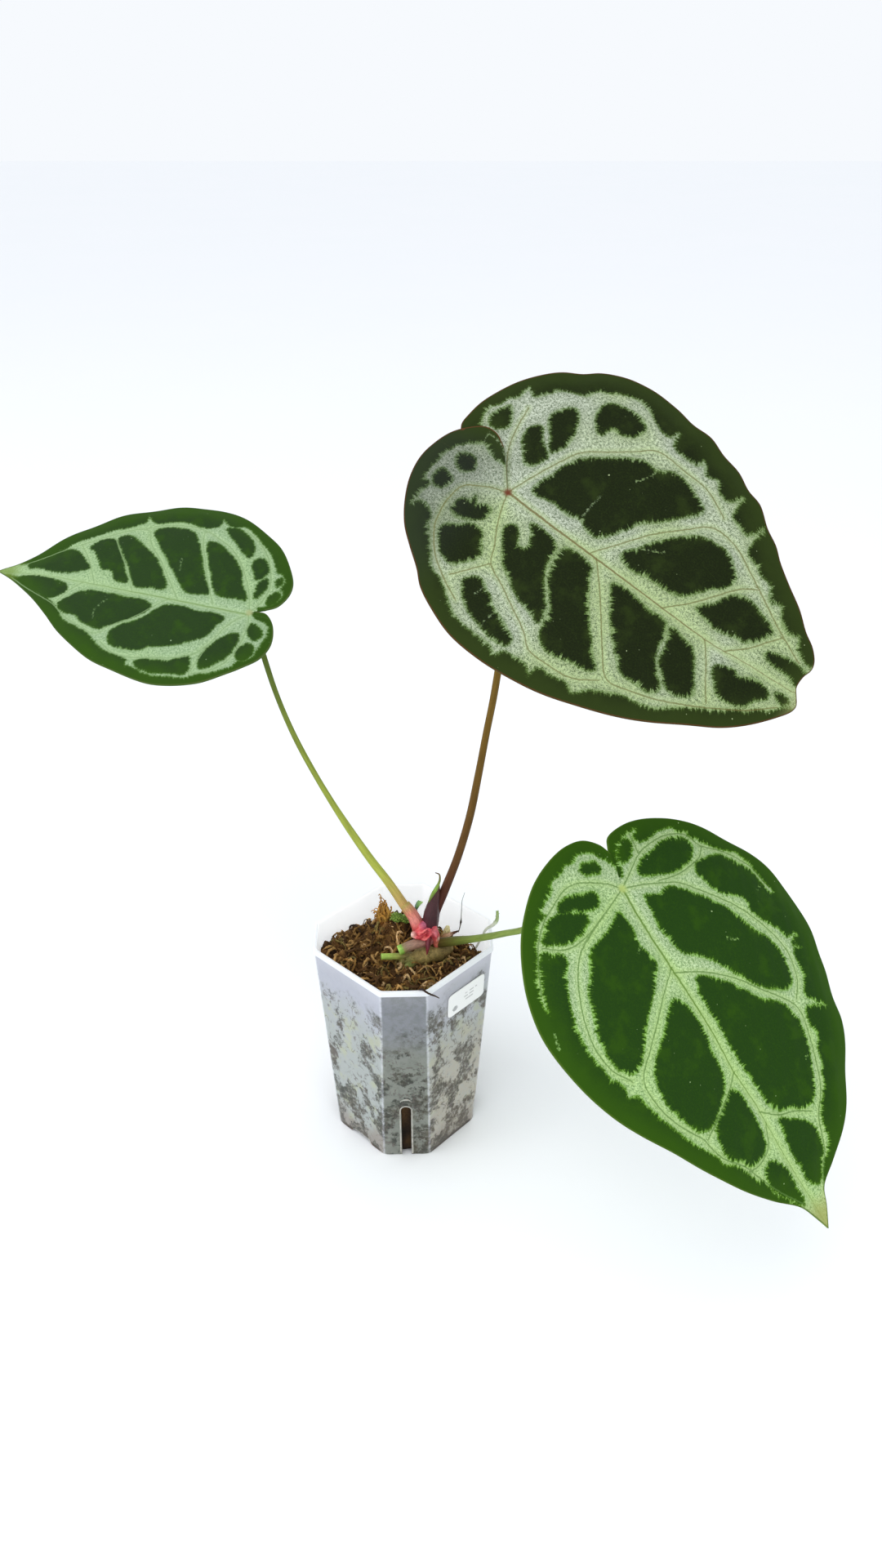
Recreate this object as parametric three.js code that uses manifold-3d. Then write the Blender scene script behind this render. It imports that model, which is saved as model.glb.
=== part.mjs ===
// A velvet-leaved anthurium hybrid with three silver-veined leaves in a square slit pot.
// Millimetres, +Z up. The origin is the centre of the pot's foot, on the surface it stands on.
// +X runs to the right and +Y away from the viewer, who faces one chamfered corner of the pot.
import * as THREE from 'three';
import { mergeVertices } from 'three/addons/utils/BufferGeometryUtils.js';
import Module from 'manifold-3d';

const wasm = await Module();
wasm.setup();

// Pot: a square cup with chamfered corners, widening upwards to a thicker lip
const RIM_WIDTH = 70;
const POT_HEIGHT = 104;
const POT_TURN = THREE.MathUtils.degToRad(46.6);
const LIP_HEIGHT = 2.3;
const LIP_REACH = 0.6;
const FOOT_WIDTH = 59.8;
const RIM_CHAMFER = 13.9;
const FOOT_CHAMFER = 14.9;
const WALL = 1.2;
const CLEARANCE = 0.3;
const WALL_TOP = POT_HEIGHT - LIP_HEIGHT;
const WALL_TOP_WIDTH = RIM_WIDTH - 2 * LIP_REACH;

// Drain slots up the four chamfered corners, each with a raised edge and a brow above it
const SLOT_WIDTH = 4.4;
const SLOT_HEIGHT = 33;
const SLOT_EDGE = 0.9;
const SLOT_EDGE_PROUD = 0.7;
const BROW_HEIGHT = 35.2;
const BROW_RADIUS = 3.2;

// Air notches under two opposite sides of the foot
const NOTCH_WIDTH = 15;
const NOTCH_TOP_WIDTH = 10;
const NOTCH_HEIGHT = 3;
const NOTCH_DEPTH = 13;

// Sticker on the right front wall
const LABEL = { width: 23, height: 12.5, corner: 2, thick: 0.6, offset: 4.4, middle: 86 };

// Moss filling
const MOSS_LEVEL = 96.2;
const MOUND = { x: -4, y: 10, height: 8.5, reachX: 12, reachY: 8 };
const BACK_DROP = { depth: 13, reach: 12, crestX: -10, crestY: 17, bendLeft: 0.022, bendRight: 0.0115 };
const STRAND_COUNT = 28;

// Blades
const BLADE_THICK = 0.8;
const OUTLINE_STEPS = 34;
const RINGS = [0.12, 0.3, 0.5, 0.7, 0.87, 1];
const EDGE_WAVE = 1.1;
const EDGE_WAVES = 6.5;

// Each leaf lies in its own frame: u runs from the junction to the tip and v across the blade.
// The outlines run from the notch between the lobes round each half to the tip.
const LEAVES = [
  {
    name: 'upper_right',
    junction: [40.2, -10, 307],
    tip: [140.55, -60, 247.8],
    facing: [0.028, -0.74, 0.672],
    halfWidth: 60,
    arch: 6,
    gull: 5,
    midribSway: -3,
    lobeLift: { left: -0.8, right: 3 },
    left: [
      [-27.5, 9.8], [-30.3, 13], [-30.5, 18], [-29.5, 26], [-25, 37], [-18, 46], [-13, 51], [-7, 54.8],
      [-2, 59], [6, 62.2], [13, 63.6], [20, 64.2], [29, 63], [37, 60.5], [45, 60], [52, 57.2], [60, 55],
      [67, 50.5], [73, 48.5], [80, 43], [86, 39.6], [91, 35], [98, 30], [106, 25.5], [112, 21], [117, 18],
      [120.5, 14], [121.2, 11], [120.4, 8], [120.6, 3.5], [122.2, 1.5]
    ],
    right: [
      [-11, 12], [-16, 14.8], [-21, 15], [-26, 12], [-30.5, 7.5], [-33.2, 1], [-33.7, -6], [-31.5, -15.5],
      [-27, -24.5], [-22, -31], [-16, -36], [-8, -42], [-3, -46.5], [6, -51], [17, -54.8], [30, -56],
      [43, -54.8], [55, -52.7], [66, -49.2], [77, -44.6], [88, -38.8], [99, -31.5], [108, -25], [115, -18],
      [121, -10], [124.3, -4], [124.3, -1.5], [122.2, 1.5]
    ],
    petiole: [
      [12, -3.8, 106.5], [13.8, -3, 117], [18.2, -2, 129.4], [23.7, -0.5, 145.4], [28.7, 1, 165],
      [32, 2.5, 183.9], [34.9, 4, 202.2], [37.9, 6, 219.7], [40.4, 8, 240], [41.6, 8, 265], [41.2, 4, 288]
    ],
    petioleRadius: [2.2, 2.05, 1.85, 1.75, 1.65, 1.55, 1.5, 1.45, 1.4, 1.4, 1.45],
    green: 0x2c3a1e,
    stalk: 0x7a5a2c
  },
  {
    name: 'lower_right',
    junction: [83.6, -65, 175.6],
    tip: [158.1, -132, 72.5],
    facing: [0.4, -0.609, 0.685],
    halfWidth: 62,
    arch: 7,
    gull: 6,
    midribSway: -5.5,
    lobeLift: { left: 0, right: 1.4 },
    left: [
      [-14.5, 5.2], [-18.3, 8], [-19.3, 16], [-17.5, 24.5], [-13, 33.5], [-7.5, 40.5], [-1, 46.6], [8, 53],
      [17, 59], [27, 63.4], [36, 65], [44, 65.2], [54, 63.8], [63, 60.5], [71, 58.2], [80, 53.2],
      [88, 50.6], [96, 45.8], [104, 38.5], [112, 31.2], [119, 23.2], [125, 14], [130, 5.2], [136, 2.6],
      [143.8, -0.6]
    ],
    right: [
      [-13, 4.1], [-18, 2.4], [-22.5, -2], [-24.2, -9.5], [-22.8, -20], [-18.5, -31.5], [-11, -41.2],
      [-2, -49.2], [10, -56.8], [22, -60.4], [34, -61.3], [47, -60], [60, -56], [72, -50.5], [85, -42.6],
      [98, -34.8], [110, -26.8], [121, -17], [130, -7.8], [137, -4], [143.8, -0.6]
    ],
    petiole: [
      [14, -5.6, 103.6], [18.5, -8, 105.9], [23.8, -12, 109.9], [30.5, -20, 117.1], [37, -29, 125.5],
      [43.1, -38, 134.1], [48.3, -46, 141.6], [60, -54, 152], [72, -58, 161], [79, -60.5, 167.5]
    ],
    petioleRadius: [2, 1.8, 1.65, 1.5, 1.45, 1.4, 1.35, 1.35, 1.4, 1.5],
    green: 0x2f5a1e,
    stalk: 0x6f8a3a
  },
  {
    name: 'left',
    junction: [-66.1, 60, 231.9],
    tip: [-187.3, 105, 233.2],
    facing: [-0.162, -0.462, 0.872],
    halfWidth: 52,
    arch: 6,
    gull: 5,
    midribSway: 3.5,
    lobeLift: { left: 0, right: 0 },
    left: [
      [-2.5, -1.2], [-7, -1.4], [-11, 1.8], [-13.8, 7.5], [-14.8, 14], [-13, 22], [-7.5, 28.6], [0, 34.4],
      [8, 40.4], [16, 44], [25, 45.6], [35, 45.4], [46, 43.9], [57, 41.2], [68, 36.5], [79, 30.4],
      [90, 22.4], [100, 15.6], [110, 9.6], [118, 5.4], [131, -0.4]
    ],
    right: [
      [-6, -3.2], [-10.6, -6.2], [-13.2, -12.5], [-12.6, -19.6], [-8, -28], [-1, -36.2], [10, -43.8],
      [22, -49.4], [35, -52.4], [46, -50.8], [58, -48.4], [70, -42.6], [82, -36], [93, -27.4],
      [104, -17.4], [114, -8.6], [121, -3.6], [131, -0.4]
    ],
    petiole: [
      [7, -4.6, 107], [5.2, -3.6, 114], [1, -1, 119.9], [-6.3, 4, 129.4], [-14.6, 11, 137.5],
      [-27.2, 23, 151], [-38.5, 34, 165.4], [-48.3, 44, 180.4], [-56, 53, 196], [-61.3, 60, 211],
      [-64.2, 62.8, 222]
    ],
    petioleRadius: [2.2, 2.1, 1.95, 1.8, 1.6, 1.4, 1.3, 1.25, 1.2, 1.2, 1.25],
    green: 0x3c5c34,
    stalk: 0x758c3f
  }
];

// Small deterministic random numbers, so that the moss is the same every time
function seededRandom(seed) {
  let state = seed;
  return () => {
    state = (state + 0x6d2b79f5) | 0;
    let t = Math.imul(state ^ (state >>> 15), 1 | state);
    t = (t + Math.imul(t ^ (t >>> 7), 61 | t)) ^ t;
    return ((t ^ (t >>> 14)) >>> 0) / 4294967296;
  };
}

const vector = (p) => new THREE.Vector3(p[0], p[1], p[2]);

// Geometry and solids
function toSolid(geometry) {
  const bare = new THREE.BufferGeometry();
  bare.setAttribute('position', geometry.getAttribute('position'));
  bare.setIndex(geometry.getIndex());
  const merged = mergeVertices(bare, 1e-4);
  return new wasm.Manifold(new wasm.Mesh({
    numProp: 3,
    vertProperties: new Float32Array(merged.getAttribute('position').array),
    triVerts: new Uint32Array(merged.getIndex().array)
  }));
}

function toGeometry(solid) {
  const mesh = solid.getMesh();
  const geometry = new THREE.BufferGeometry();
  geometry.setAttribute('position', new THREE.BufferAttribute(new Float32Array(mesh.vertProperties), 3));
  geometry.setIndex(new THREE.BufferAttribute(new Uint32Array(mesh.triVerts), 1));
  geometry.computeVertexNormals();
  return geometry;
}

// A closed body from points and triangles, turned so that its faces point out
function bodyFrom(points, triangles) {
  let volume = 0;
  for (let i = 0; i < triangles.length; i += 3) {
    const [a, b, c] = [points[triangles[i]], points[triangles[i + 1]], points[triangles[i + 2]]];
    volume += a.dot(b.clone().cross(c));
  }
  const index = volume < 0 ? triangles.slice().reverse() : triangles;
  const geometry = new THREE.BufferGeometry().setFromPoints(points);
  geometry.setIndex(index);
  return toSolid(geometry);
}

// A body skinned over rings of equal count, with its ends closed by fans
function loft(rings) {
  const count = rings[0].length;
  const points = rings.flat();
  const triangles = [];
  for (let r = 0; r + 1 < rings.length; r += 1) {
    for (let i = 0; i < count; i += 1) {
      const a = r * count + i;
      const b = r * count + (i + 1) % count;
      triangles.push(a, b, b + count, a, b + count, a + count);
    }
  }
  const middleOf = (ring) => ring.reduce((sum, p) => sum.add(p), new THREE.Vector3()).divideScalar(count);
  const first = points.push(middleOf(rings[0])) - 1;
  const last = points.push(middleOf(rings[rings.length - 1])) - 1;
  const lastRing = (rings.length - 1) * count;
  for (let i = 0; i < count; i += 1) {
    const next = (i + 1) % count;
    triangles.push(first, next, i);
    triangles.push(last, lastRing + i, lastRing + next);
  }
  return bodyFrom(points, triangles);
}

// A round or flattened stem along a smooth path, with its radius given along the path
function stem(path, radii, { sides = 8, steps = 12, grow = 0, flat = 1 } = {}) {
  const curve = new THREE.CatmullRomCurve3(path.map(vector), false, 'centripetal');
  const frames = curve.computeFrenetFrames(steps, false);
  const rings = [];
  for (let i = 0; i <= steps; i += 1) {
    const at = i / steps;
    const slot = Math.min(at * (radii.length - 1), radii.length - 1.000001);
    const low = Math.floor(slot);
    const radius = THREE.MathUtils.lerp(radii[low], radii[low + 1], slot - low) + grow;
    const centre = curve.getPointAt(at);
    if (i === 0) centre.addScaledVector(frames.tangents[0], -grow);
    if (i === steps) centre.addScaledVector(frames.tangents[steps], grow);
    const ring = [];
    for (let k = 0; k < sides; k += 1) {
      const angle = 2 * Math.PI * k / sides;
      ring.push(centre.clone()
        .addScaledVector(frames.normals[i], radius * Math.cos(angle))
        .addScaledVector(frames.binormals[i], radius * flat * Math.sin(angle)));
    }
    rings.push(ring);
  }
  return loft(rings);
}

// A lump: an ellipsoid with soft bumps
function lump(centre, size, { turn = 0, tilt = 0, grow = 0, bumps = 0.08 } = {}) {
  const geometry = new THREE.IcosahedronGeometry(1, 1);
  const position = geometry.getAttribute('position');
  const p = new THREE.Vector3();
  for (let i = 0; i < position.count; i += 1) {
    p.fromBufferAttribute(position, i);
    const swell = 1 + bumps * Math.sin(5 * p.x + 2 * p.z) * Math.cos(4 * p.y - p.z);
    p.multiplyScalar(swell);
    p.set(p.x * (size[0] + grow), p.y * (size[1] + grow), p.z * (size[2] + grow));
    p.applyEuler(new THREE.Euler(tilt, 0, turn));
    p.add(vector(centre));
    position.setXYZ(i, p.x, p.y, p.z);
  }
  geometry.deleteAttribute('normal');
  geometry.deleteAttribute('uv');
  const merged = mergeVertices(geometry, 1e-4);
  return toSolid(merged);
}

const joined = (solids) => solids.reduce((sum, solid) => sum.add(solid));
const without = (solid, cutters) => cutters.reduce((rest, cutter) => rest.subtract(cutter), solid);

// The largest closed body of a solid, so that no loose scrap of a cut is kept
function mainBody(solid) {
  const bodies = solid.decompose();
  return bodies.reduce((best, body) => (body.volume() > best.volume() ? body : best));
}

// Pot outline at one height: a square with cut corners, turned to face the viewer with a corner
function potRing(width, chamfer, z) {
  const half = width / 2;
  const near = half - chamfer;
  const corners = [
    [half, -near], [half, near], [near, half], [-near, half],
    [-half, near], [-half, -near], [-near, -half], [near, -half]
  ];
  const cos = Math.cos(POT_TURN);
  const sin = Math.sin(POT_TURN);
  return corners.map(([x, y]) => new THREE.Vector3(x * cos - y * sin, x * sin + y * cos, z));
}

const potWidthAt = (z) => THREE.MathUtils.mapLinear(z, 0, WALL_TOP, FOOT_WIDTH, WALL_TOP_WIDTH);
const potChamferAt = (z) => THREE.MathUtils.mapLinear(z, 0, WALL_TOP, FOOT_CHAMFER, RIM_CHAMFER);

// The pot's wall outline moved inwards by a distance; the cut corners shrink with it
function insetRing(z, inset) {
  return potRing(potWidthAt(z) - 2 * inset, potChamferAt(z) - (2 - Math.SQRT2) * inset, z);
}

// A frame on one side wall or corner of the pot, at height z = 0:
// x along the wall to the right, y up the slanted wall, z out of it
function wallFrame(turn, footDistance, topDistance) {
  const slope = Math.atan2(topDistance - footDistance, WALL_TOP);
  const out = new THREE.Vector3(Math.cos(turn), Math.sin(turn), 0);
  const along = new THREE.Vector3(-Math.sin(turn), Math.cos(turn), 0);
  const up = new THREE.Vector3(0, 0, Math.cos(slope)).addScaledVector(out, Math.sin(slope));
  const face = new THREE.Vector3().crossVectors(along, up);
  return new THREE.Matrix4().makeBasis(along, up, face).setPosition(out.multiplyScalar(footDistance));
}

// Quarters count from the right back: right back, left back, left front, right front
const sideFrame = (quarter) => wallFrame(
  POT_TURN + quarter * Math.PI / 2,
  FOOT_WIDTH / 2,
  WALL_TOP_WIDTH / 2
);
const cornerFrame = (quarter) => wallFrame(
  POT_TURN + Math.PI / 4 + quarter * Math.PI / 2,
  (FOOT_WIDTH - FOOT_CHAMFER) / Math.SQRT2,
  (WALL_TOP_WIDTH - RIM_CHAMFER) / Math.SQRT2
);

function extruded(shape, depth, start, frame, curveSegments = 6) {
  const geometry = new THREE.ExtrudeGeometry(shape, { depth, bevelEnabled: false, curveSegments });
  geometry.translate(0, 0, start);
  geometry.applyMatrix4(frame);
  geometry.deleteAttribute('normal');
  geometry.deleteAttribute('uv');
  return toSolid(mergeVertices(geometry, 1e-4));
}

// An upright slot outline with a round top, open downwards below the foot
function slotShape(width, top, bottom) {
  const shape = new THREE.Shape();
  const radius = width / 2;
  shape.moveTo(-radius, bottom);
  shape.lineTo(radius, bottom);
  shape.lineTo(radius, top - radius);
  shape.absarc(0, top - radius, radius, 0, Math.PI, false);
  shape.lineTo(-radius, bottom);
  return shape;
}

function browShape() {
  const shape = new THREE.Shape();
  const rise = BROW_HEIGHT;
  shape.absarc(0, rise, BROW_RADIUS, 0.15 * Math.PI, 0.85 * Math.PI, false);
  shape.absarc(0, rise, BROW_RADIUS - SLOT_EDGE, 0.85 * Math.PI, 0.15 * Math.PI, true);
  shape.closePath();
  return shape;
}

function notchShape(grow) {
  const shape = new THREE.Shape();
  const half = NOTCH_WIDTH / 2 + grow;
  const topHalf = NOTCH_TOP_WIDTH / 2 + grow;
  shape.moveTo(-half, -1);
  shape.lineTo(half, -1);
  shape.lineTo(half, 0);
  shape.lineTo(topHalf, NOTCH_HEIGHT + grow);
  shape.lineTo(-topHalf, NOTCH_HEIGHT + grow);
  shape.lineTo(-half, 0);
  shape.closePath();
  return shape;
}

// The notches lie under the left front side and the right back side
const NOTCHED_SIDES = [0, 2];
const notchBlocks = (grow) => joined(NOTCHED_SIDES.map((quarter) => extruded(
  notchShape(grow),
  NOTCH_DEPTH + grow + 3,
  -NOTCH_DEPTH - grow,
  sideFrame(quarter)
)));

function potOuter(grow) {
  return loft([
    insetRing(0, -grow),
    insetRing(WALL_TOP, -grow),
    potRing(RIM_WIDTH + 2 * grow, RIM_CHAMFER + 0.3 * LIP_REACH, WALL_TOP),
    potRing(RIM_WIDTH + 2 * grow, RIM_CHAMFER + 0.3 * LIP_REACH, POT_HEIGHT + grow)
  ]);
}

function potCavity(inset, floor) {
  const lipInset = WALL + inset - 0.3;
  return loft([
    insetRing(floor, WALL + inset),
    insetRing(WALL_TOP, WALL + inset),
    potRing(WALL_TOP_WIDTH - 2 * lipInset, RIM_CHAMFER - 0.586 * lipInset, POT_HEIGHT + 2)
  ]);
}

function buildPot() {
  const humps = notchBlocks(WALL).intersect(potOuter(0));
  let pot = potOuter(0).subtract(potCavity(0, WALL)).add(humps).subtract(notchBlocks(0));
  for (let quarter = 0; quarter < 4; quarter += 1) {
    const frame = cornerFrame(quarter);
    const edge = extruded(slotShape(SLOT_WIDTH + 2 * SLOT_EDGE, SLOT_HEIGHT + SLOT_EDGE, 2), 1.4, -0.7, frame);
    const brow = extruded(browShape(), 1.2, -0.6, frame);
    const opening = extruded(slotShape(SLOT_WIDTH, SLOT_HEIGHT, -2), 8, -5, frame);
    pot = pot.add(edge).add(brow).subtract(opening);
  }
  return pot;
}

function buildLabel() {
  const shape = new THREE.Shape();
  const x = LABEL.width / 2;
  const y = LABEL.height / 2;
  const r = LABEL.corner;
  shape.moveTo(-x + r, -y);
  shape.lineTo(x - r, -y);
  shape.absarc(x - r, -y + r, r, -Math.PI / 2, 0, false);
  shape.absarc(x - r, y - r, r, 0, Math.PI / 2, false);
  shape.absarc(-x + r, y - r, r, Math.PI / 2, Math.PI, false);
  shape.absarc(-x + r, -y + r, r, Math.PI, 1.5 * Math.PI, false);
  const frame = sideFrame(3).multiply(new THREE.Matrix4().makeTranslation(LABEL.offset, LABEL.middle, 0));
  return extruded(shape, LABEL.thick, CLEARANCE, frame, 3);
}

// Moss surface height: level in front, a mound behind the stem, a fall towards the back wall
function mossHeight(x, y) {
  const bend = x < BACK_DROP.crestX ? BACK_DROP.bendLeft : BACK_DROP.bendRight;
  const crest = BACK_DROP.crestY - bend * (x - BACK_DROP.crestX) ** 2;
  const fall = BACK_DROP.depth * THREE.MathUtils.smoothstep(y - crest, 0, BACK_DROP.reach);
  const dx = (x - MOUND.x) / MOUND.reachX;
  const dy = (y - MOUND.y) / MOUND.reachY;
  const mound = MOUND.height * Math.exp(-dx * dx - dy * dy);
  const lumps = 0.9 * Math.sin(0.55 * x + 1.3) * Math.cos(0.48 * y) + 0.6 * Math.sin(0.9 * y - 0.7 * x);
  return MOSS_LEVEL + mound + lumps - fall;
}

// One curled strand from a point on the moss, its ends sunk in
function mossStrand(random, x, y, reach, rise, radius) {
  const heading = 2 * Math.PI * random();
  const curl = (random() - 0.5) * 1.1;
  const path = [];
  for (let i = 0; i <= 4; i += 1) {
    const t = i / 4;
    const angle = heading + curl * Math.sin(3 * t) * 2;
    const px = x + reach * t * Math.cos(angle);
    const py = y + reach * t * Math.sin(angle);
    path.push([px, py, mossHeight(px, py) - 1.1 + rise * Math.sin(Math.PI * t)]);
  }
  return stem(path, [radius, radius * 1.1, radius * 0.8, radius * 0.6], { sides: 4, steps: 4 });
}

function mossBody() {
  const cells = 15;
  const size = 84;
  const points = [];
  const triangles = [];
  const floor = WALL;
  const top = (i, j) => i * (cells + 1) + j;
  const offset = (cells + 1) * (cells + 1);
  for (const level of ['top', 'bottom']) {
    for (let i = 0; i <= cells; i += 1) {
      for (let j = 0; j <= cells; j += 1) {
        const x = (i / cells - 0.5) * size;
        const y = (j / cells - 0.5) * size;
        points.push(new THREE.Vector3(x, y, level === 'top' ? mossHeight(x, y) : floor));
      }
    }
  }
  const quad = (a, b, c, d) => triangles.push(a, b, c, a, c, d);
  for (let i = 0; i < cells; i += 1) {
    for (let j = 0; j < cells; j += 1) {
      quad(top(i, j), top(i + 1, j), top(i + 1, j + 1), top(i, j + 1));
      quad(offset + top(i, j), offset + top(i, j + 1), offset + top(i + 1, j + 1), offset + top(i + 1, j));
    }
    quad(top(i + 1, 0), top(i, 0), offset + top(i, 0), offset + top(i + 1, 0));
    quad(top(i, cells), top(i + 1, cells), offset + top(i + 1, cells), offset + top(i, cells));
    quad(top(0, i), top(0, i + 1), offset + top(0, i + 1), offset + top(0, i));
    quad(top(cells, i + 1), top(cells, i), offset + top(cells, i), offset + top(cells, i + 1));
  }
  return bodyFrom(points, triangles);
}

function buildMoss() {
  const random = seededRandom(11);
  const filled = mossBody().intersect(potCavity(CLEARANCE, WALL + CLEARANCE));
  const strands = [];
  while (strands.length < STRAND_COUNT) {
    const x = (random() - 0.5) * 66;
    const y = (random() - 0.5) * 66;
    if (Math.abs(x) + Math.abs(y) < 40) {
      strands.push(mossStrand(random, x, y, 7 + 7 * random(), 2 + 3 * random(), 0.75 + 0.35 * random()));
    }
  }
  const inPot = joined(strands).intersect(potCavity(CLEARANCE + 0.4, WALL + 20));
  return filled.add(inPot).subtract(notchBlocks(WALL + CLEARANCE));
}

// Golden strands standing up behind the stem, from one rooted core
function buildTuft(grow) {
  const random = seededRandom(5);
  const core = lump([-9.4, 11.5, 104], [3.4, 2.6, 3], { grow });
  const strands = [];
  for (let i = 0; i < 7; i += 1) {
    const lean = (random() - 0.5) * 5;
    const back = (random() - 0.5) * 4;
    const height = 6 + 6.5 * random();
    const start = [-9.4 + 0.4 * lean, 11.5 + 0.3 * back, 103.5];
    const bow = (random() - 0.5) * 4;
    strands.push(stem([
      start,
      [start[0] + 0.5 * lean + bow, start[1] + 0.5 * back, 103.5 + 0.55 * height],
      [start[0] + lean, start[1] + back, 103.5 + height]
    ], [0.9, 0.8, 0.45], { sides: 4, steps: 4, grow }));
  }
  return joined([core, ...strands]);
}

const buildGreenMoss = (grow) => joined([
  lump([-2.6, 8, 107.2], [3.4, 2.8, 2.6], { grow, bumps: 0.2 }),
  lump([1.4, 8.6, 105.8], [2.6, 2.3, 2.2], { grow, turn: 1, bumps: 0.2 })
]);

// A seedling leaf on a short stalk
const buildSeedling = (grow) => joined([
  stem([[5.4, 7.5, 101], [5.8, 6.6, 108], [5.6, 5.6, 113.6]], [0.8, 0.7, 0.6], { sides: 6, steps: 6, grow }),
  stem([[5.2, 5.6, 113], [5.8, 4.8, 115.5], [6.8, 4, 117.6], [8.6, 3.6, 118.8]], [0.5, 2.3, 2.1, 0.3],
    { sides: 8, steps: 6, flat: 0.35, grow })
]);

const buildSprout = (grow) => stem(
  [[32.4, 3, 94], [35, 3, 100], [36.6, 3, 104.6], [39.4, 3, 107.4], [41.4, 3, 110], [41.6, 3, 114]],
  [0.9, 0.9, 1, 1.1, 0.6],
  { sides: 6, steps: 9, grow }
);

const ROOT_PATHS = [
  [[-25, 13, 95], [-24.4, 12.4, 98.8], [-22, 11, 100.4], [-20, 9, 99.4], [-19.3, 8, 94.5]],
  [[-18.6, 14, 94.5], [-18, 13, 99.2], [-13.4, 9, 101.2], [-9.2, 3, 99.8], [-8, 1.2, 95]]
];
const buildRoots = (grow) => ROOT_PATHS.map((path) => stem(path, [0.6, 0.6, 0.55, 0.5], {
  sides: 5,
  steps: 9,
  grow
}));

// A loose strand lying over the front edge of the rim
const RIM_STRAND = [
  [7.2, -34.6, 98], [8.2, -37.4, 104], [9.2, -39, 105.3], [10.8, -40.5, 105.1],
  [12.3, -40.4, 104], [14.3, -38.6, 101.5], [15.9, -36.5, 98.6]
];
const buildRimStrand = (grow) => stem(RIM_STRAND, [0.45, 0.5, 0.5, 0.4, 0.3], { sides: 5, steps: 12, grow });

// The short creeping stem: a lying part with ring scars, a green nub and a root going down
function buildStem(grow) {
  const lying = stem(
    [[20, -5.4, 100.2], [15, -6.4, 98.9], [9, -8, 98], [4, -9.8, 97.6], [0, -11, 97.4]],
    [2.3, 3.2, 4.5, 4.1, 4.4, 3.9, 3.4, 3, 2],
    { sides: 10, steps: 11, grow }
  );
  const root = stem([[11, -6.4, 99], [10.5, -5, 92], [10, -4, 84]], [4, 3.4, 2], { sides: 8, steps: 5, grow });
  const nub = stem([[5, -11, 97.6], [3.4, -13.6, 98], [2, -15.2, 98.6]], [2.1, 1.8, 1.2],
    { sides: 8, steps: 4, grow });
  return joined([lying, root, nub]);
}

const buildUpperStub = (grow) => stem([[11.6, -8, 106.6], [4.8, -9.8, 105.9], [-1.8, -11.6, 104]], [1.9, 2.1, 2.05],
  { sides: 10, steps: 6, grow });
const buildLowerStub = (grow) => stem([[7, -8.4, 99], [-1.2, -10, 99.6], [-9.3, -12, 101]], [1.8, 1.5, 1.4],
  { sides: 10, steps: 7, grow });

// The burgundy sheath leaf standing round the foot of the tallest petiole
const buildCataphyll = (grow) => stem(
  [[11.9, -4.2, 111], [12.2, -4, 115], [12.9, -3.8, 120], [14, -3.6, 126], [15.3, -3.4, 132.5]],
  [3.5, 3.75, 3.9, 3.3, 2.7, 2.2, 1.2],
  { sides: 14, steps: 12, grow }
);
const buildHookedTip = (grow) => stem(
  [[11.4, -6.4, 126.4], [13.2, -6.4, 130.6], [15, -6.3, 134], [16.2, -6.2, 138], [15.9, -6, 140.5], [14.4, -5.9, 141.2]],
  [0.6, 1.05, 1, 0.75, 0.55, 0.3],
  { sides: 8, steps: 10, grow }
);

// The pink sheath round the foot of the left petiole
const buildPinkSheath = (grow) => stem(
  [[7.8, -5.4, 108], [6.6, -4.6, 112.7], [4, -3, 117.6], [1, -1, 121.2]],
  [2.9, 3.2, 2.9, 2.2],
  { sides: 12, steps: 8, grow }
);

// Red bud scales heaped in front of the cataphyll, with a pink column to their right
const buildBudScales = (grow) => joined([
  lump([8, -8, 111.2], [3.4, 2.6, 2.6], { grow, turn: 0.2, bumps: 0.12 }),
  lump([11.2, -7.8, 110.6], [2.8, 2.4, 2.7], { grow, turn: -0.4, bumps: 0.12 }),
  lump([4.6, -8.2, 110.6], [2, 1.6, 1.7], { grow, turn: 0.6, bumps: 0.1 }),
  stem([[13.4, -6.4, 113], [14.3, -7, 108.6], [14.8, -7.4, 104.2]], [1.7, 2, 1.7], { sides: 8, steps: 5, grow })
]);
const buildDarkScale = (grow) => stem(
  [[11.2, -9, 109], [11, -11.8, 106.6], [10.6, -13, 103.4]],
  [2.2, 2, 0.6],
  { sides: 8, steps: 6, flat: 0.55, grow }
);

// Dried brown scale remains behind the lower right petiole, ending in a dried thread
const buildDryScale = (grow) => joined([
  stem([[15.5, -3.4, 100.5], [17.8, -4, 105.4], [20.6, -3.8, 106.8], [24, -3.6, 108.4]], [1.5, 1.7, 1.3, 0.5],
    { sides: 7, steps: 8, flat: 0.5, grow }),
  stem([[17, -2.4, 100], [18.8, -1.4, 104.6], [19.6, -1, 108.2]], [1.3, 1.7, 1.2], { sides: 7, steps: 5, grow })
]);
const THREAD_PATH = [[24.4, -3, 107.6], [25.3, -2, 111.3], [25.7, 1, 116.2], [26, 4, 119.3], [27.1, 6, 122.3]];
const buildThread = () => stem(THREAD_PATH, [0.35, 0.6, 0.35, 0.3, 0.3], { sides: 5, steps: 10 });

// Leaf surfaces
function leafFrame(leaf) {
  const origin = vector(leaf.junction);
  const along = vector(leaf.tip).sub(origin);
  const length = along.length();
  along.normalize();
  const normal = vector(leaf.facing);
  normal.addScaledVector(along, -normal.dot(along)).normalize();
  const across = new THREE.Vector3().crossVectors(normal, along);
  return { origin, along, across, normal, length };
}

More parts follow.
